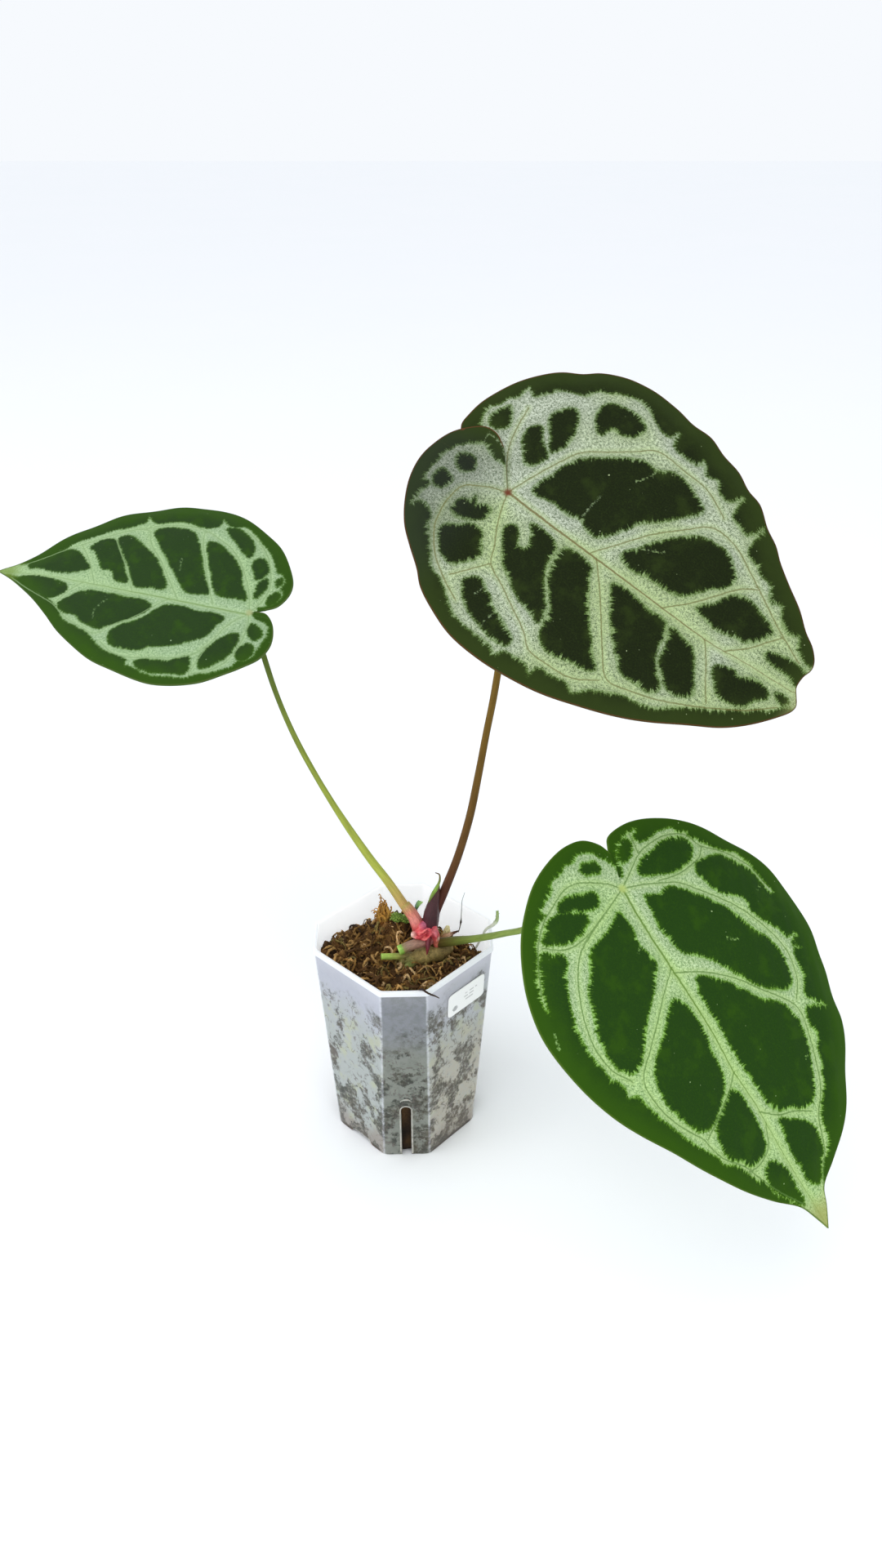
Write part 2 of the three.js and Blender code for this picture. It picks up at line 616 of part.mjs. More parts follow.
// Height of the blade above its plane: an arch along the midrib, a crease at the midrib whose
// halves rise and then droop, and lobes lifted or lowered beside the notch
function bladeHeight(leaf, length, u, v, angle, lift) {
  const s = u / length;
  const onRib = THREE.MathUtils.clamp(s, 0, 1);
  const sway = v - leaf.midribSway * 4 * onRib * (1 - onRib);
  const t = Math.sqrt(sway * sway + 2) / leaf.halfWidth;
  const beside = THREE.MathUtils.smoothstep(Math.abs(angle), 1.75, 2.65);
  const away = THREE.MathUtils.smoothstep(Math.hypot(u, v), 0, 14);
  return 4 * leaf.arch * s * (1 - s) + leaf.gull * (1.6 * t - 2.1 * t * t) + lift * beside * away;
}

// One half of a blade: a fan of rays from the junction to the outline, with the same triangles
// on both faces and a midrib ridge underneath
function bladeHalf(leaf, outline, side, lift, frame) {
  const curve = new THREE.CatmullRomCurve3(outline.map(([u, v]) => new THREE.Vector3(u, v, 0)), false, 'centripetal');
  const edge = curve.getSpacedPoints(OUTLINE_STEPS);
  const points = [];
  const place = (u, v, height) => frame.origin.clone()
    .addScaledVector(frame.along, u)
    .addScaledVector(frame.across, v)
    .addScaledVector(frame.normal, height);
  const angleOf = (u, v) => {
    const angle = Math.atan2(v * side, u);
    return angle < -1.2 ? angle + 2 * Math.PI : angle;
  };
  const face = (drop) => {
    const start = points.length;
    points.push(place(0, 0, bladeHeight(leaf, frame.length, 0, 0, 0, 0) - drop));
    edge.forEach((rim, station) => {
      const wave = EDGE_WAVE * Math.sin(2 * Math.PI * EDGE_WAVES * station / OUTLINE_STEPS);
      for (const ring of RINGS) {
        const u = rim.x * ring;
        const v = rim.y * ring;
        const top = bladeHeight(leaf, frame.length, u, v, angleOf(u, v), lift) + wave * ring ** 5;
        const s = THREE.MathUtils.clamp(u / frame.length, 0, 1);
        const offRib = (v - leaf.midribSway * 4 * s * (1 - s)) / 3;
        const ridge = u > 6 ? 0.9 * Math.exp(-offRib * offRib) * (1 - s) : 0;
        points.push(place(u, v, top - drop * (1 + ridge)));
      }
    });
    return start;
  };
  const top = face(0);
  const under = face(BLADE_THICK);
  const at = (start, station, ring) => start + 1 + station * RINGS.length + ring;
  const triangles = [];
  const lastRing = RINGS.length - 1;
  for (let i = 0; i < OUTLINE_STEPS; i += 1) {
    triangles.push(top, at(top, i, 0), at(top, i + 1, 0));
    triangles.push(under, at(under, i + 1, 0), at(under, i, 0));
    for (let r = 0; r < lastRing; r += 1) {
      const corners = (start) => [at(start, i, r), at(start, i, r + 1), at(start, i + 1, r + 1), at(start, i + 1, r)];
      const [a, b, c, d] = corners(top);
      const [e, f, g, h] = corners(under);
      triangles.push(a, b, c, a, c, d);
      triangles.push(e, g, f, e, h, g);
    }
    triangles.push(at(top, i, lastRing), at(under, i, lastRing), at(under, i + 1, lastRing));
    triangles.push(at(top, i, lastRing), at(under, i + 1, lastRing), at(top, i + 1, lastRing));
  }
  for (const [station, turned] of [[0, false], [OUTLINE_STEPS, true]]) {
    for (let r = -1; r < lastRing; r += 1) {
      const a = r < 0 ? top : at(top, station, r);
      const b = at(top, station, r + 1);
      const c = at(under, station, r + 1);
      const d = r < 0 ? under : at(under, station, r);
      triangles.push(...(turned ? [a, b, c, a, c, d] : [a, c, b, a, d, c]));
    }
  }
  return bodyFrom(points, triangles);
}

function buildBlade(leaf) {
  const frame = leafFrame(leaf);
  const left = bladeHalf(leaf, leaf.left, 1, leaf.lobeLift.left, frame);
  const right = bladeHalf(leaf, leaf.right, -1, leaf.lobeLift.right, frame);
  return mainBody(left.add(right));
}

// A petiole ends square against the underside of the blade, just short of it
function buildPetiole(leaf, grow) {
  const frame = leafFrame(leaf);
  const slopeAlong = 4 * leaf.arch / frame.length;
  const underNormal = frame.normal.clone().addScaledVector(frame.along, -slopeAlong).normalize();
  const rise = bladeHeight(leaf, frame.length, 0, 0, 0, 0);
  const under = frame.origin.clone().addScaledVector(frame.normal, rise - BLADE_THICK);
  const end = under.clone().addScaledVector(underNormal, -CLEARANCE - 0.05);
  const before = under.clone().addScaledVector(underNormal, -5);
  const path = [...leaf.petiole, before.toArray(), end.toArray()];
  const radii = [...leaf.petioleRadius, leaf.petioleRadius.at(-1), 1.3];
  return stem(path, radii, { sides: 8, steps: 24, grow });
}

// Assembly: each piece is cut clear of the pieces that it grips or stands in
const part = new THREE.Group();
part.name = 'potted_anthurium_hybrid';

function addNode(name, solid, color, roughness, extra = {}) {
  const material = new THREE.MeshStandardMaterial({ color, roughness, metalness: 0, ...extra });
  const mesh = new THREE.Mesh(toGeometry(mainBody(solid)), material);
  mesh.name = name;
  part.add(mesh);
}

const [upperRight, lowerRight, left] = LEAVES;
const petioleGaps = [upperRight, lowerRight, left].map((leaf) => buildPetiole(leaf, CLEARANCE));
const [tallGap, lowGap, leftGap] = petioleGaps;
const potGap = potOuter(CLEARANCE).subtract(potCavity(CLEARANCE, WALL + CLEARANCE));
const stemGap = buildStem(CLEARANCE);
const upperStubGap = buildUpperStub(CLEARANCE);
const lowerStubGap = buildLowerStub(CLEARANCE);
const pinkGap = buildPinkSheath(CLEARANCE);
const cataphyllGap = buildCataphyll(CLEARANCE);
const budGap = buildBudScales(CLEARANCE);
const darkScaleGap = buildDarkScale(CLEARANCE);
const dryGap = buildDryScale(CLEARANCE);
const tipGap = buildHookedTip(CLEARANCE);
const rootGaps = buildRoots(CLEARANCE);
const tuftGap = buildTuft(CLEARANCE);
const greenGap = buildGreenMoss(CLEARANCE);
const seedlingGap = buildSeedling(CLEARANCE);
const sproutGap = buildSprout(CLEARANCE);
const rimStrandGap = buildRimStrand(CLEARANCE);

addNode('pot', buildPot(), 0xc6c8d2, 0.35, { transparent: true, opacity: 0.75 });
addNode('label', buildLabel(), 0xf6f6f4, 0.5);
addNode('potting_moss', without(buildMoss(), [
  stemGap, lowerStubGap, lowGap, dryGap, tuftGap, greenGap, seedlingGap, sproutGap, rimStrandGap, ...rootGaps
]), 0x6b4423, 0.9);
addNode('moss_tuft', without(buildTuft(0), [greenGap]), 0xa97b34, 0.9);
addNode('green_moss', without(buildGreenMoss(0), [seedlingGap]), 0x7fa63a, 0.9);
addNode('seedling_leaf', buildSeedling(0), 0x39603a, 0.6);
addNode('sprout', buildSprout(0), 0x86a860, 0.7);
buildRoots(0).forEach((root, i) => addNode(`aerial_root_${i + 1}`, root, 0x3a2a1e, 0.8));
addNode('rim_strand', without(buildRimStrand(0), [potGap]), 0x3a2a1e, 0.8);
addNode('stem', without(buildStem(0), [lowGap, upperStubGap, lowerStubGap, tallGap]), 0x6a6632, 0.6);
addNode('upper_cut_stub', without(buildUpperStub(0), [tallGap]), 0x8a6a58, 0.6);
addNode('lower_cut_stub', buildLowerStub(0), 0x8aa04a, 0.55);
addNode('pink_sheath', without(buildPinkSheath(0), [leftGap, cataphyllGap, tallGap]), 0xc77a70, 0.55);
addNode('cataphyll', without(buildCataphyll(0), [tallGap, tipGap]), 0x3c161d, 0.45);
addNode('cataphyll_tip', without(buildHookedTip(0), [tallGap]), 0x7da33a, 0.5);
addNode('bud_scales', without(buildBudScales(0), [
  tallGap, leftGap, lowGap, cataphyllGap, pinkGap, upperStubGap, lowerStubGap, stemGap
]), 0xc2464a, 0.5);
addNode('dark_scale', without(buildDarkScale(0), [budGap, upperStubGap, stemGap, lowerStubGap]), 0x5c1a24, 0.5);
addNode('dry_scale', without(buildDryScale(0), [lowGap, stemGap, tallGap]), 0x9a7447, 0.8);
addNode('dry_thread', without(buildThread(), [dryGap]), 0x8a8a7c, 0.8);
addNode('petiole_upper_right', buildPetiole(upperRight, 0), upperRight.stalk, 0.5);
addNode('petiole_lower_right', without(buildPetiole(lowerRight, 0), [tallGap]), lowerRight.stalk, 0.5);
addNode('petiole_left', without(buildPetiole(left, 0), [tallGap]), left.stalk, 0.5);
for (const leaf of LEAVES) {
  addNode(`blade_${leaf.name}`, buildBlade(leaf), leaf.green, 0.65);
}

export default part;
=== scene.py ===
"""The looks of a velvet-leaved anthurium hybrid in a square slit pot, built round its CAD frame.

Shapes are worked out in millimetres, in the frame's axes, and placed in metres.
"""

import math

import bpy
import numpy as np
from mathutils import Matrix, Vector
from mathutils.kdtree import KDTree


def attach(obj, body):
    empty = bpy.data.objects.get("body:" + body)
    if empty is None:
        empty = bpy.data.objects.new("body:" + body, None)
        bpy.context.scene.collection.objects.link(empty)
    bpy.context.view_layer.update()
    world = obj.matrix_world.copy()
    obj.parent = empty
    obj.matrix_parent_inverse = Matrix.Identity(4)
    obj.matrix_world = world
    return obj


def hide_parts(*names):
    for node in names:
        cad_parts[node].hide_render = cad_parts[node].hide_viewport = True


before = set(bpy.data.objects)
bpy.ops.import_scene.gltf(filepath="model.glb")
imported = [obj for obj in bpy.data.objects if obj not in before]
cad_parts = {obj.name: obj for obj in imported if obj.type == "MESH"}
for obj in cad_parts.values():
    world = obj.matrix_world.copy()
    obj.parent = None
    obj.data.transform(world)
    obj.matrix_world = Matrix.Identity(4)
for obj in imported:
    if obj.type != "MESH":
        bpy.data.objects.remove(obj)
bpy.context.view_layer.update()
MM = 0.001
ROOT_2 = math.sqrt(2)
FULL_TURN = 2 * math.pi


def rgb(red, green, blue):
    """A screen colour, 0 to 255, as linear light."""
    out = []
    for value in (red, green, blue):
        c = value / 255
        out.append(c / 12.92 if c <= 0.04045 else ((c + 0.055) / 1.055) ** 2.4)
    return (*out, 1.0)


class Value:
    """What a material's node gives, so that a sum of nodes is written as a sum."""

    def __init__(self, paint, socket):
        self.paint = paint
        self.socket = socket

    def math(self, operation, b=0.0, c=0.0):
        return self.paint.node("Math", 0, {0: self, 1: b, 2: c}, operation=operation)

    def __add__(self, other):
        return self.math("ADD", other)

    def __sub__(self, other):
        return self.math("SUBTRACT", other)

    def __mul__(self, other):
        return self.math("MULTIPLY", other)

    def __abs__(self):
        return self.math("ABSOLUTE")

    def larger(self, other):
        return self.math("MAXIMUM", other)

    def swing(self, amount):
        """A 0 to 1 noise turned into one that swings by about amount to each side of zero."""
        return self.math("MULTIPLY_ADD", 2.0 * amount, -amount)

    def band(self, low, high, start=0.0, end=1.0):
        """A soft step from start to end while this goes from low to high."""
        sockets = {"Value": self, "From Min": low, "From Max": high, "To Min": start, "To Max": end}
        return self.paint.node("MapRange", "Result", sockets, interpolation_type="SMOOTHSTEP")

    def mix(self, share, other):
        """This colour with a share of another laid over it."""
        return self.paint.mix(share, self, other)


class Paint:
    """A procedural material."""

    def __init__(self, name, roughness=0.5, specular=0.5):
        self.material = bpy.data.materials.new(name)
        self.material.use_nodes = True
        self.tree = self.material.node_tree
        self.shader = self.tree.nodes["Principled BSDF"]
        self.link(self.shader.inputs["Roughness"], roughness)
        self.link(self.shader.inputs["Specular IOR Level"], specular)

    def link(self, socket, value):
        if isinstance(value, Value):
            self.tree.links.new(value.socket, socket)
        else:
            socket.default_value = value

    def node(self, kind, output, sockets, **properties):
        node = self.tree.nodes.new("ShaderNode" + kind)
        for key, value in properties.items():
            setattr(node, key, value)
        for key, value in sockets.items():
            self.link(node.inputs[key], value)
        return Value(self, node.outputs[output])

    def attr(self, name, output="Fac"):
        return self.node("Attribute", output, {}, attribute_name=name)

    def flat(self, x, y, z=0.0):
        return self.node("CombineXYZ", 0, {0: x, 1: y, 2: z})

    def stretch(self, at, scale):
        return self.node("VectorMath", "Vector", {0: at, 1: scale}, operation="MULTIPLY")

    def shift(self, at, by):
        return self.node("VectorMath", "Vector", {0: at, 1: by}, operation="ADD")

    def place(self):
        """The point on the surface, in the frame's axes, in millimetres."""
        return self.stretch(self.node("TexCoord", "Object", {}), (1000, 1000, 1000))

    def noise(self, at, scale, detail=3.0, rough=0.6, warp=0.0):
        sockets = {"Vector": at, "Scale": scale, "Detail": detail, "Roughness": rough, "Distortion": warp}
        return self.node("TexNoise", "Fac", sockets)

    def mix(self, share, a, b):
        """A blend of two colours, which are the Mix node's inputs 6 and 7 and its output 2."""
        return self.node("Mix", 2, {0: share, 6: a, 7: b}, data_type="RGBA")

    def finish(self, colour, height, depth, roughness=None, strength=1.0):
        """Sets the colour, the roughness, and a relief of so many millimetres' depth."""
        self.link(self.shader.inputs["Base Color"], colour)
        if roughness is not None:
            self.link(self.shader.inputs["Roughness"], roughness)
        sockets = {"Height": height, "Distance": depth * MM, "Strength": strength}
        self.link(self.shader.inputs["Normal"], self.node("Bump", "Normal", sockets))
        return self.material


def unit(vectors):
    return vectors / np.linalg.norm(vectors, axis=-1, keepdims=True)


def step(value, low, high):
    t = np.clip((value - low) / (high - low), 0, 1)
    return t * t * (3 - 2 * t)


def bell(value, width):
    return np.exp(-((value / width) ** 2))


def spin(points, turn):
    """Points turned about the z axis."""
    cos, sin = math.cos(turn), math.sin(turn)
    turned = np.array(points, float)
    turned[:, :2] = turned[:, :2] @ np.array([[cos, sin], [-sin, cos]])
    return turned


def smooth_path(points, count, closed=False):
    """Evenly spaced points on a centripetal Catmull-Rom curve through the given ones."""
    p = np.array(points, float)
    if closed:
        p = np.vstack([p[-1:], p, p[:2]])
    else:
        p = np.vstack([2 * p[0] - p[1], p, 2 * p[-1] - p[-2]])
    t = np.linspace(0, 1, 16, endpoint=False)[:, None]
    fine = []
    for a, b, c, d in zip(p, p[1:], p[2:], p[3:]):
        before, between, after = (
            max(math.sqrt(np.linalg.norm(y - x)), 1e-6) for x, y in ((a, b), (b, c), (c, d))
        )
        leave = (b - a) / before - (c - a) / (before + between) + (c - b) / between
        arrive = (c - b) / between - (d - b) / (between + after) + (d - c) / after
        leave, arrive = leave * between, arrive * between
        square = (3 * (c - b) - 2 * leave - arrive) * t**2
        cube = (2 * (b - c) + leave + arrive) * t**3
        fine.append(b + leave * t + square + cube)
    fine = np.vstack(fine + [p[-2:-1]])
    run = np.concatenate([[0], np.cumsum(np.linalg.norm(np.diff(fine, axis=0), axis=1))])
    at = np.linspace(0, run[-1], count, endpoint=not closed)
    return np.stack([np.interp(at, run, column) for column in fine.T], 1)


def along(values, count):
    """A short list of values spread evenly over so many stations."""
    return np.interp(np.linspace(0, 1, count), np.linspace(0, 1, len(values)), values)


def waves(points, size, seed, count=24):
    """A smooth random field between about -1 and 1, with features of about this size."""
    rng = np.random.default_rng(seed)
    directions = unit(rng.normal(size=(count, points.shape[-1])))
    directions *= (FULL_TURN / size) * rng.uniform(0.6, 1.5, (count, 1))
    phases = rng.uniform(0, FULL_TURN, count)
    return np.sin(points @ directions.T + phases).sum(-1) * math.sqrt(2 / count) * 0.7


def loft(rings):
    """Skins rings of equal count and closes both ends."""
    count = len(rings[0])
    points = np.vstack(rings)
    faces = []
    for low in range(0, len(points) - count, count):
        high = low + count
        for s in range(count):
            t = (s + 1) % count
            faces.append([low + s, low + t, high + t, high + s])
    faces.append(list(range(count))[::-1])
    faces.append([len(points) - count + s for s in range(count)])
    return points, faces


def new_object(name, points, faces):
    """An object in the scene with a mesh of points in millimetres."""
    mesh = bpy.data.meshes.new(name)
    mesh.from_pydata((np.asarray(points, float) * MM).tolist(), [], faces)
    mesh.update()
    thing = bpy.data.objects.new(name, mesh)
    bpy.context.scene.collection.objects.link(thing)
    return thing


def evaluated(thing):
    return thing.evaluated_get(bpy.context.evaluated_depsgraph_get())


def points_and_faces(mesh):
    points = np.array([v.co[:] for v in mesh.vertices]) / MM
    return points, [list(face.vertices) for face in mesh.polygons]


def add_piece(name, points, faces, material, nodes, attributes):
    """A piece of the scene, riding on the root and standing for its CAD nodes."""
    piece = new_object(name, points, faces)
    for key, values in attributes.items():
        is_vector = values.ndim == 2
        layer = piece.data.attributes.new(key, "FLOAT_VECTOR" if is_vector else "FLOAT", "POINT")
        layer.data.foreach_set("vector" if is_vector else "value", values.astype(np.float32).ravel())
    piece.data.polygons.foreach_set("use_smooth", [True] * len(faces))
    piece.data.materials.append(material)
    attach(piece, "root")
    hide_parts(*nodes)
    return piece


# How wide a tube is at the rings that round its end, as a share of its radius
CAP = np.array([0.3, 0.6, 0.85])


class Body:
    """Points, faces and values per point, gathered for one piece."""

    def __init__(self):
        self.points = []
        self.faces = []
        self.values = {}
        self.count = 0

    def add(self, points, faces, **values):
        self.faces += [[i + self.count for i in face] for face in faces]
        self.points.append(points)
        for key, value in values.items():
            value = np.asarray(value, float)
            shape = (len(points),) + value.shape[1:]
            self.values.setdefault(key, []).append(np.broadcast_to(value, shape))
        self.count += len(points)
        return self

    def fuse(self, voxel, rounds, tint):
        """One smooth skin round the closed bodies gathered so far, coloured by its points."""
        shape = new_object("fused", np.vstack(self.points), self.faces)
        remesh = shape.modifiers.new("remesh", "REMESH")
        remesh.mode = "VOXEL"
        remesh.voxel_size = voxel * MM
        shape.modifiers.new("smooth", "SMOOTH").iterations = rounds
        points, faces = points_and_faces(evaluated(shape).to_mesh())
        bpy.data.objects.remove(shape)
        return Body().add(points, faces, skin=points, tint=tint(points))

    def tube(self, path, radii, sides, steps, flat=1.0, turn=0.0, caps=(1, 1), bumps=None, **values):
        """A round or flattened stem along a smooth path, with its radii spread evenly along it.

        caps says which ends are rounded. bumps adds to the radius from how far along and how far
        round a point is. A value may be a function of how far along a point is.
        """
        line = smooth_path(path, steps)
        length = np.linalg.norm(np.diff(line, axis=0), axis=1).sum()
        tangent = unit(np.gradient(line, axis=0))
        guess = np.array([0.0, 1.0, 0.0] if abs(tangent[0][1]) < 0.9 else [1.0, 0.0, 0.0])
        side = np.zeros_like(line)
        for i, ahead in enumerate(tangent):
            guess = unit(guess - ahead * np.dot(guess, ahead))
            side[i] = guess
        first, last = (len(CAP) if cap else 0 for cap in caps)
        at = np.pad(np.arange(steps), (first, last), "edge")
        taper = np.ones(len(at))
        taper[:first] = CAP[:first]
        taper[len(at) - last :] = CAP[::-1][:last]
        radius = along(radii, steps)[at]
        push = np.sqrt(1 - taper**2) * radius
        push[:first] *= -1
        share = at / (steps - 1)
        angle = np.linspace(0, FULL_TURN, sides, endpoint=False) + turn
        r = (radius * taper)[:, None] * np.ones((1, sides))
        if bumps is not None:
            r = r * (1 + bumps(share[:, None], angle[None, :]))
        across = r * np.cos(angle)
        upright = r * flat * np.sin(angle)
        rings = (line[at] + tangent[at] * push[:, None])[:, None] + side[at][:, None] * across[:, :, None]
        rings = rings + np.cross(tangent, side)[at][:, None] * upright[:, :, None]
        skin = np.stack([(share * length)[:, None] * np.ones((1, sides)), across, upright], -1)
        here = np.repeat(share, sides)
        values = {key: value(here) if callable(value) else value for key, value in values.items()}
        return self.add(*loft(rings), skin=skin.reshape(-1, 3), **values)

    def lump(self, centre, size, turn=0.0, bumps=0.08, rings=14, **values):
        """An ellipsoid with soft bumps."""
        up = np.linspace(0, math.pi, rings + 1)
        around = np.linspace(0, FULL_TURN, 2 * rings, endpoint=False)
        up, around = np.meshgrid(up[1:-1], around, indexing="ij")
        ball = np.stack([np.sin(up) * np.cos(around), np.sin(up) * np.sin(around), np.cos(up)], -1)
        ball = np.vstack([[[0, 0, 1]], ball.reshape(-1, 3), [[0, 0, -1]]])
        swell = 1 + bumps * np.sin(5 * ball[:, 0] + 2 * ball[:, 2]) * np.cos(4 * ball[:, 1] - ball[:, 2])
        points = spin(ball * swell[:, None] * size, turn) + centre
        count, last = 2 * rings, len(points) - 1
        faces = []
        for s in range(count):
            t = (s + 1) % count
            faces += [[0, 1 + s, 1 + t], [last, last - count + t, last - count + s]]
            for low in range(1, last - count, count):
                faces.append([low + s, low + count + s, low + count + t, low + t])
        return self.add(points, faces, skin=points, **values)

    def make(self, name, material, slot, nodes):
        values = {key: np.concatenate(parts) for key, parts in self.values.items()}
        return add_piece(name, np.vstack(self.points), self.faces, material, nodes, values)


def plain(colour):
    """One screen colour as a tint."""
    return np.array([rgb(*colour)[:3]])


def gradient(at, *stops):
    """Tints at so many places, blended between (place, red, green, blue) stops."""
    places = [stop[0] for stop in stops]
    colours = np.vstack([plain(stop[1:]) for stop in stops])
    return np.stack([np.interp(at, places, column) for column in colours.T], -1)


def fade(*stops):
    """A tube's tint by how far along it is."""
    return lambda share: gradient(share, *stops)


def living(name, rough=0.5, streak=0.25, speck=0.12, stretch=0.15, grain=2.2, depth=0.12, specular=0.4):
    """Skin of a plant piece: its own tint with lengthways streaks, fine specks and relief."""
    p = Paint(name, rough, specular)
    skin = p.attr("skin", "Vector")
    long = p.noise(p.stretch(skin, (stretch, 1, 1)), grain, 3, 0.6)
    fine = p.noise(skin, 2.4 * grain, 3, 0.7)
    light = long.band(0.25, 0.75, 1 - streak, 1 + streak) * fine.band(0.3, 0.7, 1 - speck, 1 + speck)
    sockets = {0: p.attr("tint", "Color"), "Scale": light}
    colour = p.node("VectorMath", "Vector", sockets, operation="SCALE")
    return p.finish(colour, long + fine * 0.5, depth, fine.band(0.3, 0.7, rough - 0.08, rough + 0.1))


def paired(numbers):
    """Lists of flat numbers, taken two by two as points."""
    if isinstance(numbers[0], list):
        return [paired(part) for part in numbers]
    return list(zip(numbers[::2], numbers[1::2]))


